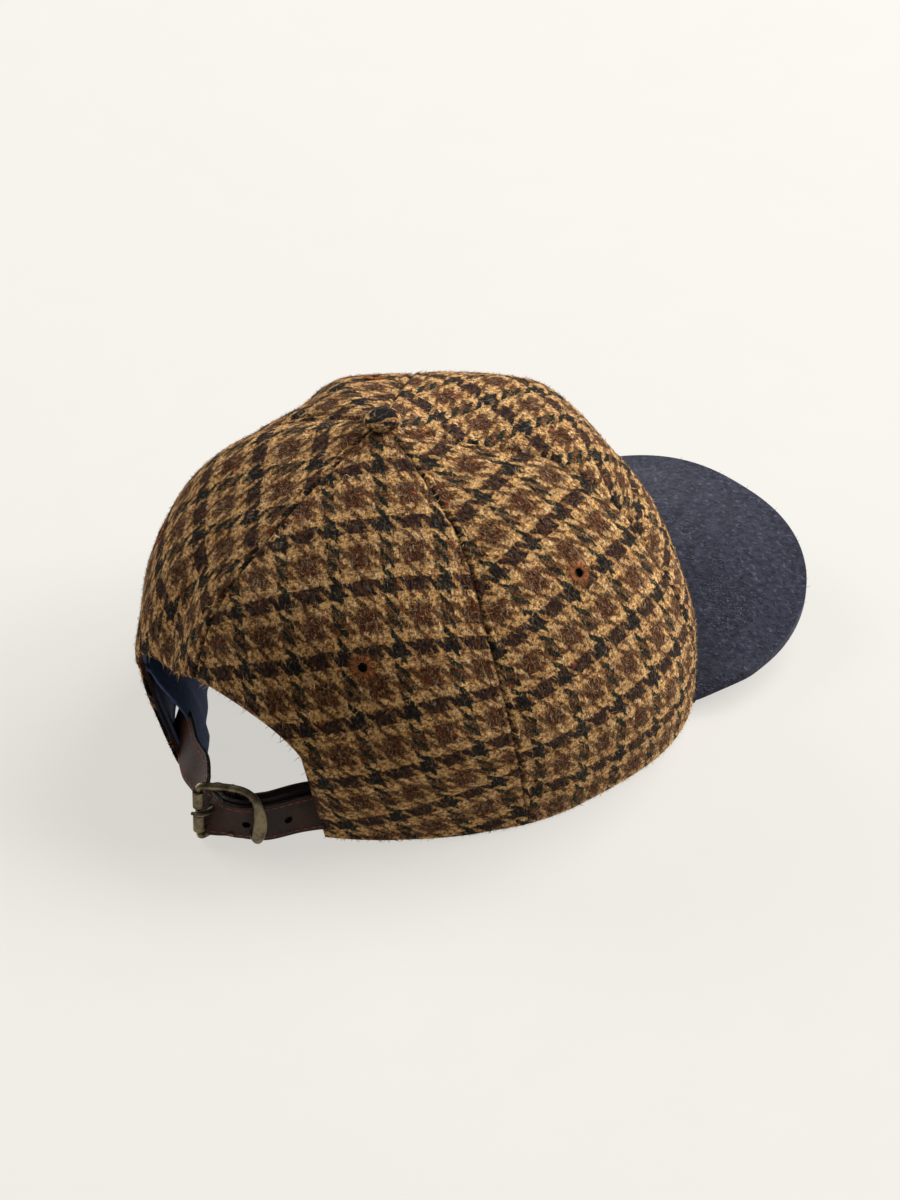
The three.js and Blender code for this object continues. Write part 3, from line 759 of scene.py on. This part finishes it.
# Loose wool on the crown and the peak
def ribbons(name, roots, directions, sides, lengths, widths, flat):
    """Fibres as thin bent ribbons of two quads."""
    count = len(roots)
    bend = np.cross(directions, sides)
    points = np.zeros((count, 6, 3))
    for k, (along, wide, lift) in enumerate(((0, 0.5, 0), (0.55, 0.42, 0.12), (1, 0.12, 0.0))):
        middle = roots + directions * (lengths * along)[:, None] + bend * (lengths * lift)[:, None]
        points[:, 2 * k] = middle - sides * (widths * wide)[:, None]
        points[:, 2 * k + 1] = middle + sides * (widths * wide)[:, None]
    points[..., 2] = np.maximum(points[..., 2], 0.1)
    base = np.arange(count)[:, None] * 6
    faces = np.concatenate([base + np.array([0, 1, 3, 2]), base + np.array([2, 3, 5, 4])])
    return from_faces(name, placed(points.reshape(-1, 3)), faces.tolist(), np.repeat(flat, 6, axis=0))


def lay_fibres(name, points, normals, flat, rng, long, lift, finish):
    """Loose fibres lying every way on a surface, with a range of lengths and of lifts."""
    loose = rng.normal(size=points.shape)
    flat_lie = unit(loose - normals * (loose * normals).sum(-1, keepdims=True))
    directions = unit(flat_lie + normals * rng.uniform(lift[0], lift[1], len(points))[:, None])
    sides = unit(np.cross(directions, normals) + 0.4 * rng.normal(size=points.shape))
    sides = unit(sides - directions * (sides * directions).sum(-1, keepdims=True))
    lengths = rng.uniform(long[0], long[1], len(points))
    widths = rng.uniform(0.13, 0.24, len(points))
    piece = ribbons(name, points - normals * 0.08, directions, sides, lengths, widths, flat)
    dress(piece, finish)


for seed, name in enumerate(PANELS):
    panel, rng = panels[name], np.random.default_rng(31 + seed)
    tries = 5 * FIBRES
    share, up = rng.uniform(0.012, 0.988, tries), rng.uniform(0.002, 0.985, tries)
    keep = rng.uniform(0, 1, tries) < panel.width(up) / panel.widths.max()
    keep &= up > lowest_rise(panel.azimuth(share)) + 0.002
    keep &= np.minimum(share, 1 - share) * panel.width(up) > 1.5
    share, up = share[keep][:FIBRES], up[keep][:FIBRES]
    for azimuth, rise, _ in EYELETS.values():
        apart = np.linalg.norm(crown(panel.azimuth(share), up) - crown(azimuth, rise), axis=-1)
        clear = apart > EYELET_CLEAR
        share, up = share[clear], up[clear]
    points, normals = panel.surface(share, up)
    flat = panel.flat(share, up)
    lay_fibres(name + "_fibres", points, normals, flat, rng, (1.4, 3.6), (0.03, 0.32), tweed_fuzz)


# Stitches
def stitch_shape():
    """One short, rounded stitch along X, about a millimetre-long unit."""
    bpy.ops.object.select_all(action="DESELECT")
    bpy.ops.mesh.primitive_uv_sphere_add(segments=8, ring_count=6, radius=0.5)
    shape = bpy.context.object
    corners = corners_of(shape)
    corners[:, [0, 2]] = corners[:, [2, 0]]
    corners[:, 0] = np.sign(corners[:, 0]) * 0.5 * np.abs(corners[:, 0] * 2) ** 0.6
    faces = [tuple(reversed(p.vertices)) for p in shape.data.polygons]
    bpy.data.objects.remove(shape, do_unlink=True)
    return corners, faces


STITCH_CORNERS, STITCH_FACES = stitch_shape()


def sew(name, starts, ends, normals, width, height):
    """One mesh of stitches, each from its start to its end and lying on the surface."""
    along = ends - starts
    sides = unit(np.cross(normals, along))
    middle = (starts + ends) / 2
    points = (middle[:, None] + along[:, None] * STITCH_CORNERS[None, :, :1]
              + sides[:, None] * STITCH_CORNERS[None, :, 1:2] * width
              + unit(normals)[:, None] * STITCH_CORNERS[None, :, 2:] * height)
    count = len(STITCH_CORNERS)
    faces = [tuple(i + k * count for i in face) for k in range(len(starts)) for face in STITCH_FACES]
    piece = from_faces(name, placed(points.reshape(-1, 3)), faces)
    smooth(piece)
    return piece


def seam_stitches():
    starts, ends, normals = [], [], []
    for panel in panels.values():
        for side in (0, 1):
            low = float(lowest_rise(np.array([panel.azimuth(abs(side - 0.01))]))[0])
            reach = float(panel.length(0.965) - panel.length(low))
            count = int(reach / 3.4)
            for k in range(count):
                pair = []
                for offset in (0.12, 0.82):
                    run = panel.length(low) + 1.5 + (k + offset) * (reach - 1.5) / count
                    rise = np.interp(run, panel.lengths, panel.rises)
                    inset = min(SEAM_STITCH / float(panel.width(rise)), 0.4)
                    pair.append((abs(side - inset), rise))
                pair = np.array(pair)
                points, normal = panel.surface(pair[:, 0], pair[:, 1])
                starts.append(points[0] + normal[0] * 0.02)
                ends.append(points[1] + normal[1] * 0.02)
                normals.append(normal.mean(0))
    return np.array(starts), np.array(ends), np.array(normals)


dress(sew("seam_stitches", *seam_stitches(), 0.5, 0.42), brown_thread)


# Sewn eyelets
def make_eyelet(name):
    azimuth, rise, carrier = EYELETS[name]
    panel = panels[carrier]
    share = (azimuth - panel.start) / (panel.end - panel.start)
    centre, normal = panel.surface(np.array([share]), np.array([rise]))
    centre, normal = centre[0], normal[0]
    across = unit(np.cross(normal, np.array([0, 0, 1.0])))
    up = np.cross(across, normal)
    piece, turn, tube = flat_grid(name + "_thread", 128, 12)
    turn, tube = turn * 2 * np.pi, tube * 2 * np.pi
    thread = EYELET_THREAD * (1 + 0.25 * np.abs(np.sin(turn * 19)) + 0.08 * np.sin(turn * 5 + azimuth))
    radius = EYELET_RING + thread * np.cos(tube)
    height = 0.05 + thread * 0.36 * np.sin(tube)
    points = (centre + across * (radius * np.cos(turn))[:, None] + up * (radius * np.sin(turn))[:, None]
              + normal * height[:, None])
    set_points(piece, placed(points))
    set_flat(piece, np.stack([turn, tube], -1))
    merge(piece, 2e-6)
    outwards(piece)
    smooth(piece)
    dress(piece, eyelet_thread, name)
    rng = np.random.default_rng(int(azimuth))
    count = 420
    turn = rng.uniform(0, 2 * np.pi, count)
    ray = across * np.cos(turn)[:, None] + up * np.sin(turn)[:, None]
    roots = centre + ray * rng.uniform(1.7, 3.0, count)[:, None]
    roots = roots + normal * rng.uniform(0.25, 0.6, count)[:, None]
    sides = unit(np.cross(ray, normal) + 0.2 * rng.normal(size=ray.shape))
    ways = unit(ray - 0.12 * normal + 0.12 * rng.normal(size=ray.shape))
    lengths, widths = rng.uniform(1.2, 3.0, count), rng.uniform(0.16, 0.3, count)
    flat = np.stack([turn, 0 * turn], -1)
    strands = ribbons(name + "_strands", roots, ways, sides, lengths, widths, flat)
    dress(strands, eyelet_thread)


for name in EYELETS:
    make_eyelet(name)


# Covered button
def make_button():
    bpy.ops.object.select_all(action="DESELECT")
    bpy.ops.mesh.primitive_uv_sphere_add(segments=64, ring_count=40, radius=1)
    piece = named("top_button_cloth")
    corners = corners_of(piece)
    radius, height = np.hypot(corners[:, 0], corners[:, 1]), corners[:, 2]
    wide = radius ** 0.72 * BUTTON_RADIUS
    tall = np.where(height > 0, 1.2 + height * (BUTTON_HEIGHT - 1.2), 1.2 + height * 2.2)
    scale = wide / np.maximum(radius, 1e-9)
    turn = np.arctan2(corners[:, 1], corners[:, 0])
    pucker = np.where(height < 0.25, 0.12 * np.sin(turn * 11) * (0.25 - height).clip(0), 0)
    points = np.stack([corners[:, 0] * (scale + pucker), corners[:, 1] * (scale + pucker), tall], -1)
    tilt = math.radians(-4)
    y = points[:, 1] * math.cos(tilt) - points[:, 2] * math.sin(tilt)
    z = points[:, 1] * math.sin(tilt) + points[:, 2] * math.cos(tilt)
    down = np.arccos(np.clip(height, -1, 1)) / math.pi * 2
    spread = BUTTON_RADIUS * 1.5 * down / np.maximum(radius, 1e-9)
    flat = corners[:, :2] * spread[:, None] * 0.8 + np.array([3.0, 3.7])
    set_flat(piece, np.full((len(corners), 2), 20.0), "edge")
    set_points(piece, placed(np.stack([points[:, 0], y + RINGS[-1, 0], z + RINGS[-1, 3]], -1)))
    set_flat(piece, flat)
    smooth(piece)
    dress(piece, tweed, "top_button")


make_button()


# Peak
def curve_through(points, count):
    """Centripetal curve through points, evenly sampled."""
    points = np.asarray(points, float)
    padded = np.concatenate([2 * points[:1] - points[1:2], points, 2 * points[-1:] - points[-2:-1]])
    last = len(points) - 2
    steps = [np.linspace(0, 1, 24, endpoint=i == last)[:, None] for i in range(last + 1)]
    out = np.concatenate([curve_step(padded[i:i + 4], w) for i, w in enumerate(steps)])
    run = run_along(out)
    even = np.linspace(0, run[-1], count)
    return np.stack([np.interp(even, run, out[:, k]) for k in range(3)], -1)


def peak_seam(azimuth):
    """The peak's inner edge, caught between the crown and the sweatband."""
    normal = crown_normal(azimuth, np.zeros_like(azimuth))
    normal[..., 2] = 0
    points = crown(azimuth, np.zeros_like(azimuth)) - normal * (CLOTH - 0.3)
    points[..., 2] = hem_height(azimuth) + PEAK_SEAM_LIFT
    return points


def peak_outline():
    """The peak's free edge, from its left corner round to its right one."""
    corners = peak_seam(np.array([-PEAK_CORNER, PEAK_CORNER], float))
    widest, tip = corners[0, 1] - 13, RINGS[0, 0] - RINGS[0, 1] - PEAK_LENGTH
    power = 2 / PEAK_SQUARE
    angle = np.linspace(-0.96, 0.96, 31) * np.pi / 2
    x = -PEAK_HALF * np.sign(angle) * np.abs(np.sin(angle)) ** power
    y = widest + (tip - widest) * np.cos(angle) ** power
    z = PEAK_SIDE + (PEAK_TIP - PEAK_SIDE) * np.cos(angle) ** 2
    return curve_through([corners[0], *np.stack([x, y, z], -1), corners[1]], 400)


PEAK_EDGE = peak_outline()


def peak_top(share, out):
    at = share * (len(PEAK_EDGE) - 1)
    outer = np.stack([np.interp(at, np.arange(len(PEAK_EDGE)), PEAK_EDGE[:, k]) for k in range(3)], -1)
    inner = peak_seam((share - 0.5) * 2 * PEAK_CORNER)
    points = inner + (outer - inner) * out[..., None]
    points[..., 2] += 3 * np.sin(np.pi * out) ** 2 * np.cos((share - 0.5) * np.pi)
    return points


def make_peak():
    piece, share, out = flat_grid("peak_cloth", 140, 56)
    points = peak_top(share, out)
    soft = np.array([noise.fractal(Vector(q * 0.03), 1.0, 2.0, 3) for q in points])
    points[:, 2] += 0.35 * soft * np.sin(np.pi * out)
    set_points(piece, placed(points))
    set_flat(piece, points[:, :2])
    merge(piece)
    outwards(piece)
    upright = sum(p.normal.z for p in piece.data.polygons) > 0
    modifier(piece, "SOLIDIFY", thickness=PEAK_THICK * MM, offset=-1 if upright else 1)
    outwards(piece)
    ease(piece, 1.25, 4, 50)
    smooth(piece, 60)
    dress(piece, navy, "peak")
    rng = np.random.default_rng(77)
    share, out = rng.uniform(0.03, 0.97, FIBRES // 2), rng.uniform(0.15, 0.99, FIBRES // 2) ** 0.7
    points = peak_top(share, out)
    normals = np.tile(np.array([0, 0, 1.0]), (len(points), 1))
    flat = points[:, :2]
    lay_fibres("peak_fibres", points, normals, flat, rng, (0.8, 2.2), (0.05, 0.4), navy_fuzz)


make_peak()


# Sweatband and arch binding
def inside(azimuth, rise, depth):
    normal = crown_normal(azimuth, rise)
    normal[..., 2] *= np.minimum(rise / 0.1, 1)
    return crown(azimuth, rise) - normal * depth


def band_piece(name, columns, rows, spot, flat, thick, node):
    """A tape or band on a grid, given its wall towards the inside of the cap."""
    piece, share, up = flat_grid(name, columns, rows)
    set_points(piece, placed(spot(up, share, 0)))
    set_flat(piece, np.stack([share * flat[0], up * flat[1]], -1))
    outwards(piece)
    inner = placed(spot(np.array([0.5]), np.array([0.5]), 1))[0]
    face = min(piece.data.polygons, key=lambda p: (Vector(inner) - p.center).length)
    away = face.normal.dot(Vector(inner) - face.center) < 0
    modifier(piece, "SOLIDIFY", thickness=thick * MM, offset=-1 if away else 1)
    outwards(piece)
    ease(piece, thick * 0.35, 2, 50)
    smooth(piece, 50)
    dress(piece, lining, node)


def sweatband_spot(up, share, deeper):
    azimuth = BAND_LEFT + share * (BAND_END - BAND_LEFT)
    rise = (BAND_LIFT + up * BAND_HEIGHT) / LOW_RUN
    loose = np.clip((-92 - azimuth) / 35, 0, 1) ** 2
    caught = 1 - 0.85 * np.clip((-144 - azimuth) / 10, 0, 1)
    slack = loose * (BAND_SLACK + 0.6 * np.sin(azimuth * 0.5)) * caught
    depth = CLOTH + 0.5 + deeper + slack * (1 - up) ** 0.8 + BAND_BULGE * loose * np.sin(np.pi * up)
    left, right = tail_share(azimuth)
    depth = depth + (LEFT_FLARE * left + RIGHT_FLARE * right) * np.clip(1 - rise / TAIL_TOP, 0, 1)
    points = inside(azimuth, rise, depth[..., None])
    points[..., 2] = np.maximum(points[..., 2], hem_height(azimuth) + BAND_LIFT)
    return points


def arch_point(share):
    """Width and height of the arch's edge, from the right foot over to the left one."""
    x, z = np.empty_like(share), np.empty_like(share)
    for i, s in enumerate(share):
        s = min(max(s, 0), 1)
        side = -1 if s < 0.5 else 1
        near = min(s, 1 - s)
        shoulder = RIGHT_SHOULDER if side < 0 else LEFT_SHOULDER
        if near < FOOT_SHARE:
            part = near / FOOT_SHARE
            edge, top = crown(np.full(2, -side * TAIL_AZIMUTH), TAIL_TOP * np.array([part, 1]))
            x[i] = edge[0] + (side * shoulder - top[0]) * part
            z[i] = edge[2] + (ARCH_SHOULDER_HEIGHT - top[2]) * part
        else:
            turn = (near - FOOT_SHARE) / (0.5 - FOOT_SHARE) * math.pi / 2
            x[i] = side * shoulder * math.cos(turn) ** (2 / ARCH_SQUARE)
            over = math.sin(turn) ** (2 / ARCH_SQUARE)
            z[i] = ARCH_SHOULDER_HEIGHT + (ARCH_HEIGHT - ARCH_SHOULDER_HEIGHT) * over
            z[i] -= ARCH_SAG * bell(x[i], SAG_AT, SAG_SPREAD)
    return np.stack([x, z], -1)


def back_spot(x, z):
    """Azimuth and rise of the crown's back at a width and a height."""
    azimuth = 180 + np.degrees(np.arcsin(np.clip(x / 92, -1, 1)))
    for _ in range(8):
        low, high = np.zeros_like(x), np.full_like(x, 0.8)
        for _ in range(24):
            middle = (low + high) / 2
            under = crown(azimuth, middle)[..., 2] < z
            low, high = np.where(under, middle, low), np.where(under, high, middle)
        here, ahead = crown(azimuth, low)[..., 0], crown(azimuth + 0.5, low)[..., 0]
        azimuth = azimuth + np.clip((x - here) / ((ahead - here) / 0.5), -12, 12)
    return azimuth, low


def binding_spot(up, share, deeper):
    here = arch_point(share)
    away = arch_point(np.minimum(share + 0.004, 1)) - arch_point(np.maximum(share - 0.004, 0))
    normal = unit(np.stack([-away[:, 1], away[:, 0]], -1))
    here = here + normal * (0.4 + up * BINDING_WIDTH)[:, None]
    azimuth, rise = back_spot(here[:, 0], np.maximum(here[:, 1], 1.5))
    return inside(azimuth, rise, 2.8 + deeper)


band_piece("sweatband_cloth", 200, 14, sweatband_spot, (BAND_LENGTH, BAND_HEIGHT), 1.4, "sweatband")
band_piece("arch_binding_tape", 130, 8, binding_spot, (BINDING_LENGTH, BINDING_WIDTH), 1.0, "arch_binding")


# Strap route in plan
def route_curve():
    points = np.array(STRAP_ROUTE, float)
    padded = np.concatenate([points[:1], points, points[-1:]])
    last = len(points) - 2
    out = []
    for i in range(last + 1):
        p0, p1, p2, p3 = padded[i:i + 4]
        v0, v1 = (p2 - p0) / 2, (p3 - p1) / 2
        w = np.linspace(0, 1, 60, endpoint=i == last)[:, None]
        square = -3 * p1 + 3 * p2 - 2 * v0 - v1
        out.append((2 * p1 - 2 * p2 + v0 + v1) * w**3 + square * w**2 + v0 * w + p1)
    return np.concatenate(out)


ROUTE = route_curve()
ROUTE_RUN = run_along(ROUTE)


def on_route(distance):
    return np.stack([np.interp(distance, ROUTE_RUN, ROUTE[:, k]) for k in (0, 1)], -1)


def beside(distance, offset):
    """Plan point beside the route, positive towards the outside, with the route's direction."""
    distance = np.clip(np.asarray(distance, float), 0, ROUTE_RUN[-1])
    ahead = on_route(np.minimum(distance + 0.4, ROUTE_RUN[-1]))
    behind = on_route(np.maximum(distance - 0.4, 0))
    along = unit(ahead - behind)
    out = np.stack([-along[..., 1], along[..., 0]], -1)
    return on_route(distance) + out * np.asarray(offset, float)[..., None], along, out


BUCKLE_AT = ROUTE_RUN[np.argmin(np.linalg.norm(ROUTE - np.array(STRAP_ROUTE[5]), axis=1))]
BUCKLE_POINT, BUCKLE_ALONG, BUCKLE_OUT = beside(BUCKLE_AT, 0.0)


def on_buckle(local):
    """Buckle drawing (along the strap, down, outwards) to drafting millimetres."""
    local = np.asarray(local, float)
    plan = BUCKLE_POINT + local[..., :1] * BUCKLE_ALONG + local[..., 2:] * BUCKLE_OUT
    return np.concatenate([plan, STRAP_MIDDLE - local[..., 1:2]], -1)


def settle(distance):
    """Drop of the strap's middle, and how far its top edge leans out."""
    past = np.asarray(distance, float) - BUCKLE_AT
    return [np.interp(past, *zip(*steps)) for steps in (STRAP_DROP, STRAP_LEAN)]


def strap_piece(name, plan, stations, node, middle, holes=(), slot=None):
    """A leather strip on edge along plan points, with eased edges."""
    run = run_along(plan)
    piece, share, up = flat_grid(name, len(plan) - 1, 12)
    distance = share * run[-1]
    x, y = (np.interp(distance, run, plan[:, k]) for k in (0, 1))
    station = np.interp(distance, run, stations)
    drop, lean = settle(station)
    out = beside(station, np.zeros_like(station))[2] * (lean * (2 * up - 1))[:, None]
    height = middle - drop + (up - 0.5) * STRAP_WIDTH
    set_points(piece, placed(np.stack([x + out[:, 0], y + out[:, 1], height], -1)))
    set_flat(piece, np.stack([distance, up * STRAP_WIDTH], -1))
    outwards(piece)
    modifier(piece, "SOLIDIFY", thickness=STRAP_THICK * MM, offset=0)
    outwards(piece)
    ease(piece, 0.4, 3, 60)
    for hole, height in holes:
        point, _, out = beside(hole, 0.0)
        punch(piece, (*point, height - settle(hole)[0]), (*out, 0), STRAP_HOLE, 6)
    if slot:
        bpy.ops.object.select_all(action="DESELECT")
        bpy.ops.mesh.primitive_cube_add(size=1)
        cutter = bpy.context.object
        corners = corners_of(cutter) * np.array(slot) + np.array([4, 0, BAR_DEPTH])
        set_points(cutter, placed(on_buckle(corners)))
        outwards(cutter)
        cut_away(piece, cutter)
    smooth(piece, 40)
    dress(piece, leather, node)


HALF = STRAP_THICK / 2
long_stations = np.linspace(0, ROUTE_RUN[-1], 181)
long_plan = beside(long_stations, np.zeros(181))[0]
prong_height = STRAP_MIDDLE + settle(BUCKLE_AT + PRONG_HOLE)[0]
long_holes = [(BUCKLE_AT + past, HOLE_HEIGHT) for past in STRAP_HOLES]
long_holes.append((BUCKLE_AT + PRONG_HOLE, prong_height))
strap_piece("strap_long_leather", long_plan, long_stations, "strap_long", LONG_MIDDLE, holes=long_holes)
LAYER = -(STRAP_THICK + 0.3)
BAR_DEPTH = -(HALF + 0.3 + STRAP_THICK + 0.3 + 1.0)
turns = np.linspace(0, np.pi, 16)[:, None]
bar_point = BUCKLE_POINT + BUCKLE_OUT * BAR_DEPTH + BUCKLE_ALONG * PRONG_HOLE
round_bar = 1.3 + HALF
outward, back = np.linspace(0, BUCKLE_AT + 5.5, 50), np.linspace(BUCKLE_AT + 5.5, BUCKLE_AT - 36, 40)
short_stations = np.concatenate([outward, np.full(16, BUCKLE_AT + PRONG_HOLE), back])
short_plan = np.concatenate([
    beside(outward, np.full(50, LAYER))[0],
    bar_point + round_bar * (np.cos(turns) * BUCKLE_OUT + np.sin(turns) * BUCKLE_ALONG),
    beside(back, np.full(40, LAYER + 2 * (BAR_DEPTH - LAYER)))[0],
])
strap_piece("strap_short_leather", short_plan, short_stations, "strap_short", SHORT_MIDDLE,
            slot=PRONG_SLOT)


def strap_stitches():
    starts, ends, normals = [], [], []
    high = ROUTE_RUN[-1] - 2
    for edge in (STITCH_INSET, STRAP_WIDTH - STITCH_INSET):
        for layer, low in ((HALF + 0.05, 2), (-HALF - 0.05, BUCKLE_AT + 4)):
            count = int((high - low) / STITCH_PITCH)
            for k in range(count):
                distance = low + (k + np.array([0.1, 0.86])) * STITCH_PITCH
                point, _, out = beside(distance, np.full(2, layer))
                drop, lean = settle(distance)
                point = point + out * (lean * (2 * edge / STRAP_WIDTH - 1))[:, None]
                pair = np.concatenate([point, (LONG_MIDDLE - drop - STRAP_WIDTH / 2 + edge)[:, None]], -1)
                starts.append(pair[0])
                ends.append(pair[1])
                normals.append(np.append(out.mean(0) * np.sign(layer), 0))
    return np.array(starts), np.array(ends), np.array(normals)


dress(sew("strap_stitches", *strap_stitches(), 0.5, 0.4), rust_thread)


# Buckle
def swept(points, wide, thick, around=20, lean=None):
    """A closed rod along points, with an oval section that may change along it."""
    points = np.asarray(points, float)
    count = len(points)
    along = unit(np.gradient(points, axis=0))
    lean = np.array([0, 0, 1.0]) if lean is None else lean
    side = unit(np.cross(along, lean))
    top = np.cross(side, along)
    turn = np.linspace(0, 2 * np.pi, around, endpoint=False)
    wide, thick = np.broadcast_to(wide, count), np.broadcast_to(thick, count)
    rings = (points[:, None] + side[:, None] * (wide[:, None] * np.cos(turn))[..., None]
             + top[:, None] * (thick[:, None] * np.sin(turn))[..., None])
    corners = np.concatenate([rings.reshape(-1, 3), points[:1], points[-1:]])
    faces = []
    for i in range(count - 1):
        for j in range(around):
            k = (j + 1) % around
            faces.append((i * around + j, i * around + k, (i + 1) * around + k, (i + 1) * around + j))
    for j in range(around):
        k = (j + 1) % around
        faces.append((count * around, k, j))
        faces.append((count * around + 1, (count - 1) * around + j, (count - 1) * around + k))
    return corners, faces


def turned_ring(rows, sides, along, depth, seam=0.0):
    """A closed ring turned from rows of radius and place across the strap, with a pressed seam."""
    turn = np.linspace(0, 2 * np.pi, sides, endpoint=False)
    dent = 1 - seam * bell(turn, 4.2, 0.09)
    corners = np.stack([
        along + np.outer(rows[:, 0], np.cos(turn) * dent),
        np.repeat(rows[:, 1:], sides, axis=1),
        depth + np.outer(rows[:, 0], np.sin(turn) * dent)], -1).reshape(-1, 3)
    faces = []
    for i in range(len(rows)):
        here, there = i * sides, (i + 1) % len(rows) * sides
        for j in range(sides):
            k = (j + 1) % sides
            faces.append((here + j, here + k, there + k, there + j))
    return corners, faces


def metal_piece(name, parts, node):
    made = []
    for corners, faces in parts:
        made.append(from_faces(name, placed(on_buckle(corners)), faces))
        outwards(made[-1])
    bpy.ops.object.select_all(action="DESELECT")
    for piece in made:
        piece.select_set(True)
    bpy.context.view_layer.objects.active = made[0]
    if len(made) > 1:
        bpy.ops.object.join()
    piece = named(name)
    smooth(piece, 45)
    dress(piece, brass, node)


def make_buckle():
    half, arm = BUCKLE_HALF, BUCKLE_ARM
    bow = np.array([
        (half, arm - 0.6, BUCKLE_LIFT), (half - 0.7, arm + 0.3, 1.9), (half * 0.5, arm + 0.4, 0.9),
        (0, arm + 0.4, 0.1), (-half * 0.55, arm, 0.6), (-half * 0.92, arm * 0.8, 2.08),
        (-half * 1.08, 0, 2.6)])
    mirrored = bow[:-1][::-1] * np.array([1, -1, 1])
    bow[2:5] -= np.array([0, 1.0, 3.6])
    path = curve_through(np.concatenate([bow, mirrored]), 150)
    middle = bell(np.linspace(-1, 1, 150), 0, 0.3)
    broad = swept(path, 1.25 + 1.25 * middle, 1.4 - 0.2 * middle)
    end = np.linspace(-1, 1, 24)[:, None]
    straight = swept(np.array([half, 0, BUCKLE_LIFT]) + end * np.array([0, arm - 0.5, 0]), 1.0, 1.0)
    hook = np.array([
        (0, -arm - 0.3, 0.1), (0, -arm + 0.6, -1.9), (0, -arm + 2.4, BAR_DEPTH), (0, -2, BAR_DEPTH)])
    other_hook = (hook * np.array([1, -1, 1]))[::-1] - np.array([0, 0.6, 0])
    bar = curve_through(np.concatenate([hook, other_hook]), 60)
    centre = swept(bar, 1.0, 1.0, lean=np.array([1.0, 0, 0]))
    metal_piece("buckle_frame_brass", [broad, straight, centre], "buckle_frame")
    lip = np.array([(1.3, -3.3), (1.6, -3.3), (1.95, -3.3), (2.1, -3.1), (2.1, -3), (2.1, -1.2)])
    roller = np.concatenate([lip, lip[::-1] * np.array([1, -1]), [(1.3, 0)]])
    for name, side in (("roller_upper", -1), ("roller_lower", 1)):
        rows = roller + np.array([0, side * 5])
        metal_piece(name + "_brass", [turned_ring(rows, 48, half, BUCKLE_LIFT, 0.06)], name)
    tongue = curve_through([
        (1.7, 0, BAR_DEPTH + 0.3), (5.8, 0, -2.2), (6.9, 0, -0.2),
        (7.6, 0, 2.2), (9.6, 0, 4.3), (13, 0, 4.4)], 60)
    taper = np.concatenate([np.full(46, 0.75), np.linspace(0.75, 0.5, 14)])
    prong = swept(tongue, taper * 1.5, taper, lean=np.array([0, 1.0, 0]))
    rows = np.array([(1.3, -1.3), (1.9, -1.3), (2.1, -1.1), (2.1, 1.1), (1.9, 1.3), (1.3, 1.3)])
    metal_piece("prong_brass", [prong, turned_ring(rows, 40, 0, BAR_DEPTH)], "prong")


make_buckle()


# Stage
CAMERA_TURN, CAMERA_LIFT, CAMERA_DISTANCE = 130.4, 33.72, 2570
PIXELS_PER_MM = 2.79
FRAME_HEIGHT = 1200


def stage():
    turn, lift = math.radians(CAMERA_TURN), math.radians(CAMERA_LIFT)
    back = Vector((-math.sin(turn) * math.cos(lift), -math.cos(turn) * math.cos(lift), math.sin(lift)))
    right = Vector((math.cos(turn), -math.sin(turn), 0))
    up = right.cross(-back)
    aim = Vector((0, SET_BACK, 45)) + right * (32 / PIXELS_PER_MM) - up * (3.5 / PIXELS_PER_MM)
    bpy.ops.object.camera_add(location=(aim + back * CAMERA_DISTANCE) * MM)
    camera = bpy.context.object
    camera.rotation_euler = Matrix((right, up, back)).transposed().to_euler()
    camera.data.sensor_fit = "VERTICAL"
    camera.data.sensor_height = 24
    camera.data.lens = 24 * CAMERA_DISTANCE / (FRAME_HEIGHT / PIXELS_PER_MM)
    camera.data.clip_end = 50
    bpy.context.scene.camera = camera

    bpy.ops.mesh.primitive_plane_add(size=30, location=(0, 0, -0.0002))
    floor = named("floor")
    paper = Finish("pale_paper", Roughness=0.95, Specular_IOR_Level=0.05, Emission_Strength=0.7)
    grain = paper.noise(paper.place(), 40.0)
    paper.set(Base_Color=paper.mix(grain, colour(112, 110, 107), colour(114, 112, 109)))
    paper.set(Emission_Color=paper.mix(grain, colour(240, 237, 231), colour(241, 238, 232)))
    floor.data.materials.append(paper.material)
    floor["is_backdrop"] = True

    world = bpy.context.scene.world or bpy.data.worlds.new("studio")
    bpy.context.scene.world = world
    world.use_nodes = True
    background = world.node_tree.nodes["Background"]
    background.inputs["Color"].default_value = (1, 0.95, 0.88, 1)
    background.inputs["Strength"].default_value = 0.18
    for name, place, size, power in (
        ("key", (-1.25, -2.0, 1.6), 1.5, 104),
        ("fill", (2.4, 0.5, 1.3), 1.6, 54),
        ("top", (0.3, -2.0, 2.0), 1.5, 82),
    ):
        bpy.ops.object.light_add(type="AREA", location=place)
        lamp = bpy.context.object
        lamp.name = name
        lamp.data.size = size
        lamp.data.energy = power
        aim = Vector((0, 0, 0.05)) - Vector(place)
        lamp.rotation_euler = aim.to_track_quat("-Z", "Y").to_euler()
    bpy.context.scene.view_settings.view_transform = "Standard"


stage()
boxes = {"cad": cad_box, "visual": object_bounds()}
boxes = {name: [list(map(float, corner)) for corner in box] for name, box in boxes.items()}
